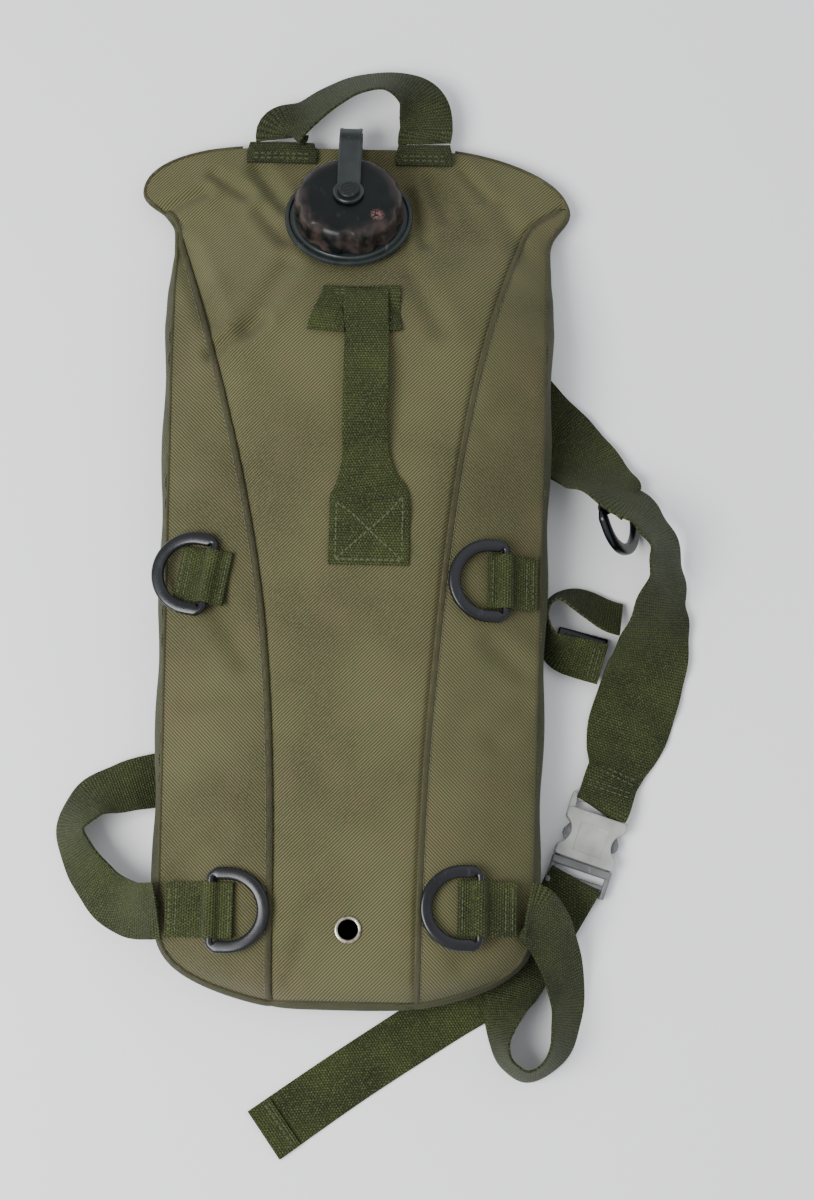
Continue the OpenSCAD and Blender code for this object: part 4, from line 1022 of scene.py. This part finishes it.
# ---- Shoulder straps, yoke and strap rings ----
# Wide webbing sewn under a plate at the top of the back. The right strap comes out past the pack's
# edge, twists over on its side and runs down to its buckle; the left one lies under the pack. Each
# carries a D-ring in a short tab.
right_shoulder = strap("shoulder_strap_webbing_right", [
    [40, 470, 4.2, 0, 48], [58, 430, 3.5, 0, 48], [80, 380, 4, 0, 48], [100, 353, 5, 0, 46],
    [118, 336, 6.5, 4, 44], [136, 317, 14, 24, 46], [154, 298, 28, 50, 48], [170, 285, 28.5, 58, 48],
    [181, 268, 27, 62, 48],
    [183, 250, 25.5, 60, 48], [180, 229, 22, 46, 48], [175, 204, 12, 22, 48], [169, 182, 4, 4, 48],
    [163, 162, 1.8, 0, 48], [159, 148, 2, 0, 42], [156, 138, 3, 0, 34], [153, 131, 5.5, 0, 32],
    [149.6, 120.4, 8.4, 0, 32], [147.6, 115.2, 8.4, 0, 32], [146.5, 113.4, 6.0, 0, 32]],
    "carrier", "shoulder_strap_right", web_shoulder, 0.45, 0.7)
hem("shoulder_right_stitches", right_shoulder, (-14, -17, -24, -27), 13)
left_shoulder = strap("shoulder_strap_webbing_left", [
    [-40, 470, 4.2, 0, 46], [-56, 440, 3, 0, 46], [-76, 400, 1.05, 0, 46], [-81, 360, 1.05, 0, 46],
    [-81, 310, 1.05, 0, 46], [-81, 250, 1.05, 0, 46], [-81, 232, 1.05, 0, 44], [-80, 214, 2, 0, 32],
    [-80, 204, 5.5, 0, 32], [-80, 198, 8.4, 0, 32], [-80, 192.6, 8.4, 0, 32]],
    "carrier", "shoulder_strap_left", web_shoulder, 0.05, 0.0, gap=2.5)
hem("shoulder_left_stitches", left_shoulder, (-14, -17), 13)
strap("shoulder_yoke_webbing", [[x, 464, 6.4, 0, 24] for x in (-70, 0, 70)], "carrier", "shoulder_yoke",
      web_shoulder, 0.05, 0.0)
left_ring = frame_at(-81, 322, 5.95, ("Z", -90))
right_spot = (151.4, 294.8, 24.5, ("Z", -39), ("X", 130))
ring_tab("strap_tab_webbing_left", "strap_tab_left", 12, 12, left_ring)
ring_tab("strap_tab_webbing_right", "strap_tab_right", 12, 12, frame_at(*right_spot))
d_ring("d_ring_strap_left", "strap_ring_left", "strap_ring_left", left_ring)
d_ring("d_ring_strap_right", "strap_ring_right", "strap_ring_right",
       frame_at(*right_spot, ("Y", -35)))


# ---- Side-release buckles ----
# Moulded grey acetal: a hollow socket with curved side openings and two horns that hold the strap's
# bar, and a plug whose two springy prongs show in those openings.
def slab(name, outline, low, high, bevel):
    """A flat plate from an outline, its edges rounded."""
    outline = np.array(outline, float)
    obj, ball = start_from(name, bpy.ops.mesh.primitive_cylinder_add, vertices=len(outline), radius=1,
                           depth=2)
    around = np.arctan2(ball[:, 1], ball[:, 0])
    k = np.round(around / (2 * math.pi) * len(outline)).astype(int) % len(outline)
    shape(obj, outline[k, 0], outline[k, 1], np.where(ball[:, 2] < 0, low, high))
    if bevel:
        finish_with(obj, "BEVEL", width=bevel, segments=3, limit_method="ANGLE",
                    angle_limit=math.radians(60))
    return obj


def block(name, x0, x1, y0, y1, z0, z1, bevel=0.0):
    """A slab over a rectangle."""
    return slab(name, [(x1, y0), (x1, y1), (x0, y1), (x0, y0)], z0, z1, bevel)


def rod(name, x0, x1, y, z, radius):
    """A round bar across a buckle."""
    obj, _ = start_from(name, bpy.ops.mesh.primitive_cylinder_add, vertices=32, radius=radius,
                        depth=x1 - x0, location=((x0 + x1) / 2, y, z), rotation=(0, math.pi / 2, 0))
    bpy.ops.object.transform_apply(location=True, rotation=True, scale=True)
    return obj


def merge(obj, other, how="UNION"):
    """Joins another piece to this one, or cuts it away, and clears it up."""
    finish_with(obj, "BOOLEAN", operation=how, solver="EXACT", object=other)
    bpy.data.objects.remove(other)
    return obj


grey = moulded("buckle_grey", srgb(136, 137, 132), srgb(168, 168, 162), 0.34, srgb(190, 190, 184))
grey_plug = moulded("buckle_plug", srgb(84, 86, 86), srgb(110, 112, 110), 0.3, srgb(170, 170, 166))
grey_dark = moulded("buckle_prong", srgb(70, 74, 76), srgb(92, 96, 98), 0.2, srgb(170, 172, 172), 0.3)
window_x, window_y, window_r = 21.5, 14.5, 9
socket_half = 18.0
for tag, spot, turn in (("right", (137, 83.5, 0.5), -17.6), ("left", (-80, 160, 0.5), 0)):
    here = frame_at(*spot, ("Z", turn))
    bite = [(window_x - window_r * math.cos(a), window_y + window_r * math.sin(a))
            for a in np.linspace(-1.15, 1.15, 22)]
    bite = [(min(socket_half, a), b) for a, b in bite]
    right_side = [(16.6, 0), (18, 1.4)] + bite + [(18, 26.5), (17.2, 29)]
    outline = right_side + [(-a, b) for a, b in right_side[::-1]]
    body = slab("socket_" + tag + "_shell", outline, 0, 10, 1.3)
    for sign in (1, -1):
        horn = [(14.6, 24), (18, 24), (18.2, 30), (18.4, 35), (18.0, 38), (16.8, 38.4), (15.2, 37),
                (14.5, 32)]
        horn = [(sign * a, b) for a, b in horn][::sign]
        merge(body, slab("horn", horn, 1.5, 8.5, 0.7))
    merge(body, rod("bar", -15.5, 15.5, 35.4, 5, 1.8))
    merge(body, block("cavity", -14.5, 14.5, -2, 26, 2, 8), "DIFFERENCE")
    merge(body, block("recess", -8.5, 8.5, 5, 22, 9.4, 12, 0.3), "DIFFERENCE")
    give(settle(body, here, 35), "carrier", grey, "buckle_plastic", "socket_" + tag)
    plug = block("plug_" + tag + "_frame", -18, 18, -5.2, -0.5, 1.4, 8.6, 0.9)
    merge(plug, block("base", -14.2, 14.2, -2, 3, 2.4, 7.6))
    merge(plug, block("tongue", -3, 3, 1, 21, 3.2, 6.8, 0.5))
    for sign in (1, -1):
        low_x, high_x = sorted((sign * 15, sign * 18))
        merge(plug, block("rail", low_x, high_x, -17, -4, 2.4, 7.6, 0.8))
    for bar_y in (-11, -15.5):
        merge(plug, rod("bar", -16, 16, bar_y, 5, 1.6))
    give(settle(plug, here, 35), "carrier", grey_plug, "buckle_plastic", "plug_" + tag)
    claw = [(8, 3.8), (9.5, 3.4), (11, 3.8), (11.4, 9.6), (15.6, 10.6), (16.8, 13), (16.8, 15.5),
            (15, 18.8), (12.5, 21.5), (9.6, 22.5), (8.2, 21)]
    for letter, sign in (("a", 1), ("b", -1)):
        prong = slab("prong_" + tag + "_" + letter + "_claw", [(sign * a, b) for a, b in claw][::sign],
                     3, 7, 0.6)
        give(settle(prong, here, 35), "prong_" + tag + "_" + letter, grey_dark, "buckle_plastic",
             "prong_" + tag + "_" + letter)


# ---- Lower straps and loose tails ----
# Webbing 32 mm wide runs from each lower tab out past the edge, loops back and feeds the buckle's
# plug; the loose tail beyond it lies slanting across the floor, its end folded and sewn.
strap("lower_strap_webbing_left", [
    [-80, 150, 8, 0], [-80, 143, 6.5, 0], [-84, 136, 5, 0], [-94, 130, 4.2, 0, 30], [-112, 126, 6, -8],
    [-130, 121, 11, -22], [-149, 113, 15.5, -40], [-160, 96, 17.5, -54], [-152, 76, 17.5, -46],
    [-137, 58, 21, -28], [-122, 50, 33, -12], [-110, 49, 45, 0], [-105, 49.5, 49, 0]],
    "carrier", "lower_strap_left", web_shoulder, 0.35, 1.4)
strap("lower_strap_webbing_right", [
    [103, 54, 50, 0], [108, 52, 45, 4], [117, 41, 33, 22], [124.5, 24, 23, 38], [128, 4, 18.5, 50],
    [126, -18, 18, 62], [118, -33, 18, 74], [105, -39, 18, 78], [94, -32, 18, 78], [90, -19, 18, 70],
    [93, -2, 14.5, 46], [100, 15, 8, 16], [109, 32, 4, 0], [118, 47, 4, 0], [126, 61, 5.5, 0],
    [131, 70, 8, 0], [133.2, 74, 8, 0]],
    "carrier", "lower_strap_right", web_shoulder, 0.3, 2.4)
strap("tail_webbing_left", [[-81, 150, 2], [-82, 135, 1.05], [-84, 105, 1.05], [-82, 70, 1.05],
                            [-76, 32, 1.05]], "carrier", "tail_left", web, 0.05, 0.0)
tail = strap("tail_webbing_right", [
    [133, 75, 2], [127, 63, 1.05], [115, 43, 1.05], [93, 17, 1.05], [56, -7, 1.05], [5, -41, 1.05],
    [-44, -76, 1.05, 0, 33]], "carrier", "tail_right", web, 0.12, 0.3)
hem_fold = strap("tail_hem_right", [list(on_strap(tail, -u, 0, 1.5)) for u in (15, 10, 5, 0.2)],
                 "carrier", None, web, 0.1, 0.9, 32.6)
hem("tail_hem_stitches", hem_fold, (2.0, 4.2), 14)


# ---- Sternum strap ----
# A 25 mm strap from each shoulder strap: a flat ladder frame on the right one's loop, and its hollow
# socket on the left one, under the pack.
strap("sternum_strap_webbing_left", [[-81, 284, 3], [-81, 273, 3], [-81, 262, 4], [-81, 255.5, 5.5]],
      "carrier", "sternum_strap_left", web, 0.05, 0.0, 25)
sternum = strap("sternum_strap_webbing_right", [
    [158, 226, 9, -30, 23], [148, 229, 11, -36, 25], [131, 237, 14, -52, 25], [118, 237, 15, -78, 25],
    [112, 227, 15, -84, 25], [114, 214, 15, -70, 25], [122, 206, 13.5, -40, 25],
    [133, 202.5, 12.5, -26, 25], [147, 199, 12, -22, 25]],
    "carrier", "sternum_strap_right", web, 0.35, 3.0)
hem("sternum_stitches", sternum, (-4, -7), 9)
socket = block("sternum_socket_shell", 0, 28, 0, 29, 0, 7, 1.2)
merge(socket, block("cavity", 3, 25, -1, 17, 1.4, 5.6), "DIFFERENCE")
merge(socket, block("slot", 3, 25, 20, 25, -1, 8), "DIFFERENCE")
give(settle(socket, frame_at(-95, 226, 2.6), 35), "carrier", ring_plastic, "ring_plastic",
     "sternum_socket")
ladder = block("sternum_plug_frame", -15, 15, -12, 10, 0, 4.2, 1.0)
for x0 in (-11, 2):
    merge(ladder, block("window", x0, x0 + 9, -9, 7, -1, 6), "DIFFERENCE")
give(settle(ladder, frame_at(134, 209, 0.3, ("Z", -14)), 35), "sternum_plug", ring_plastic, "ring_plastic",
     "sternum_plug")
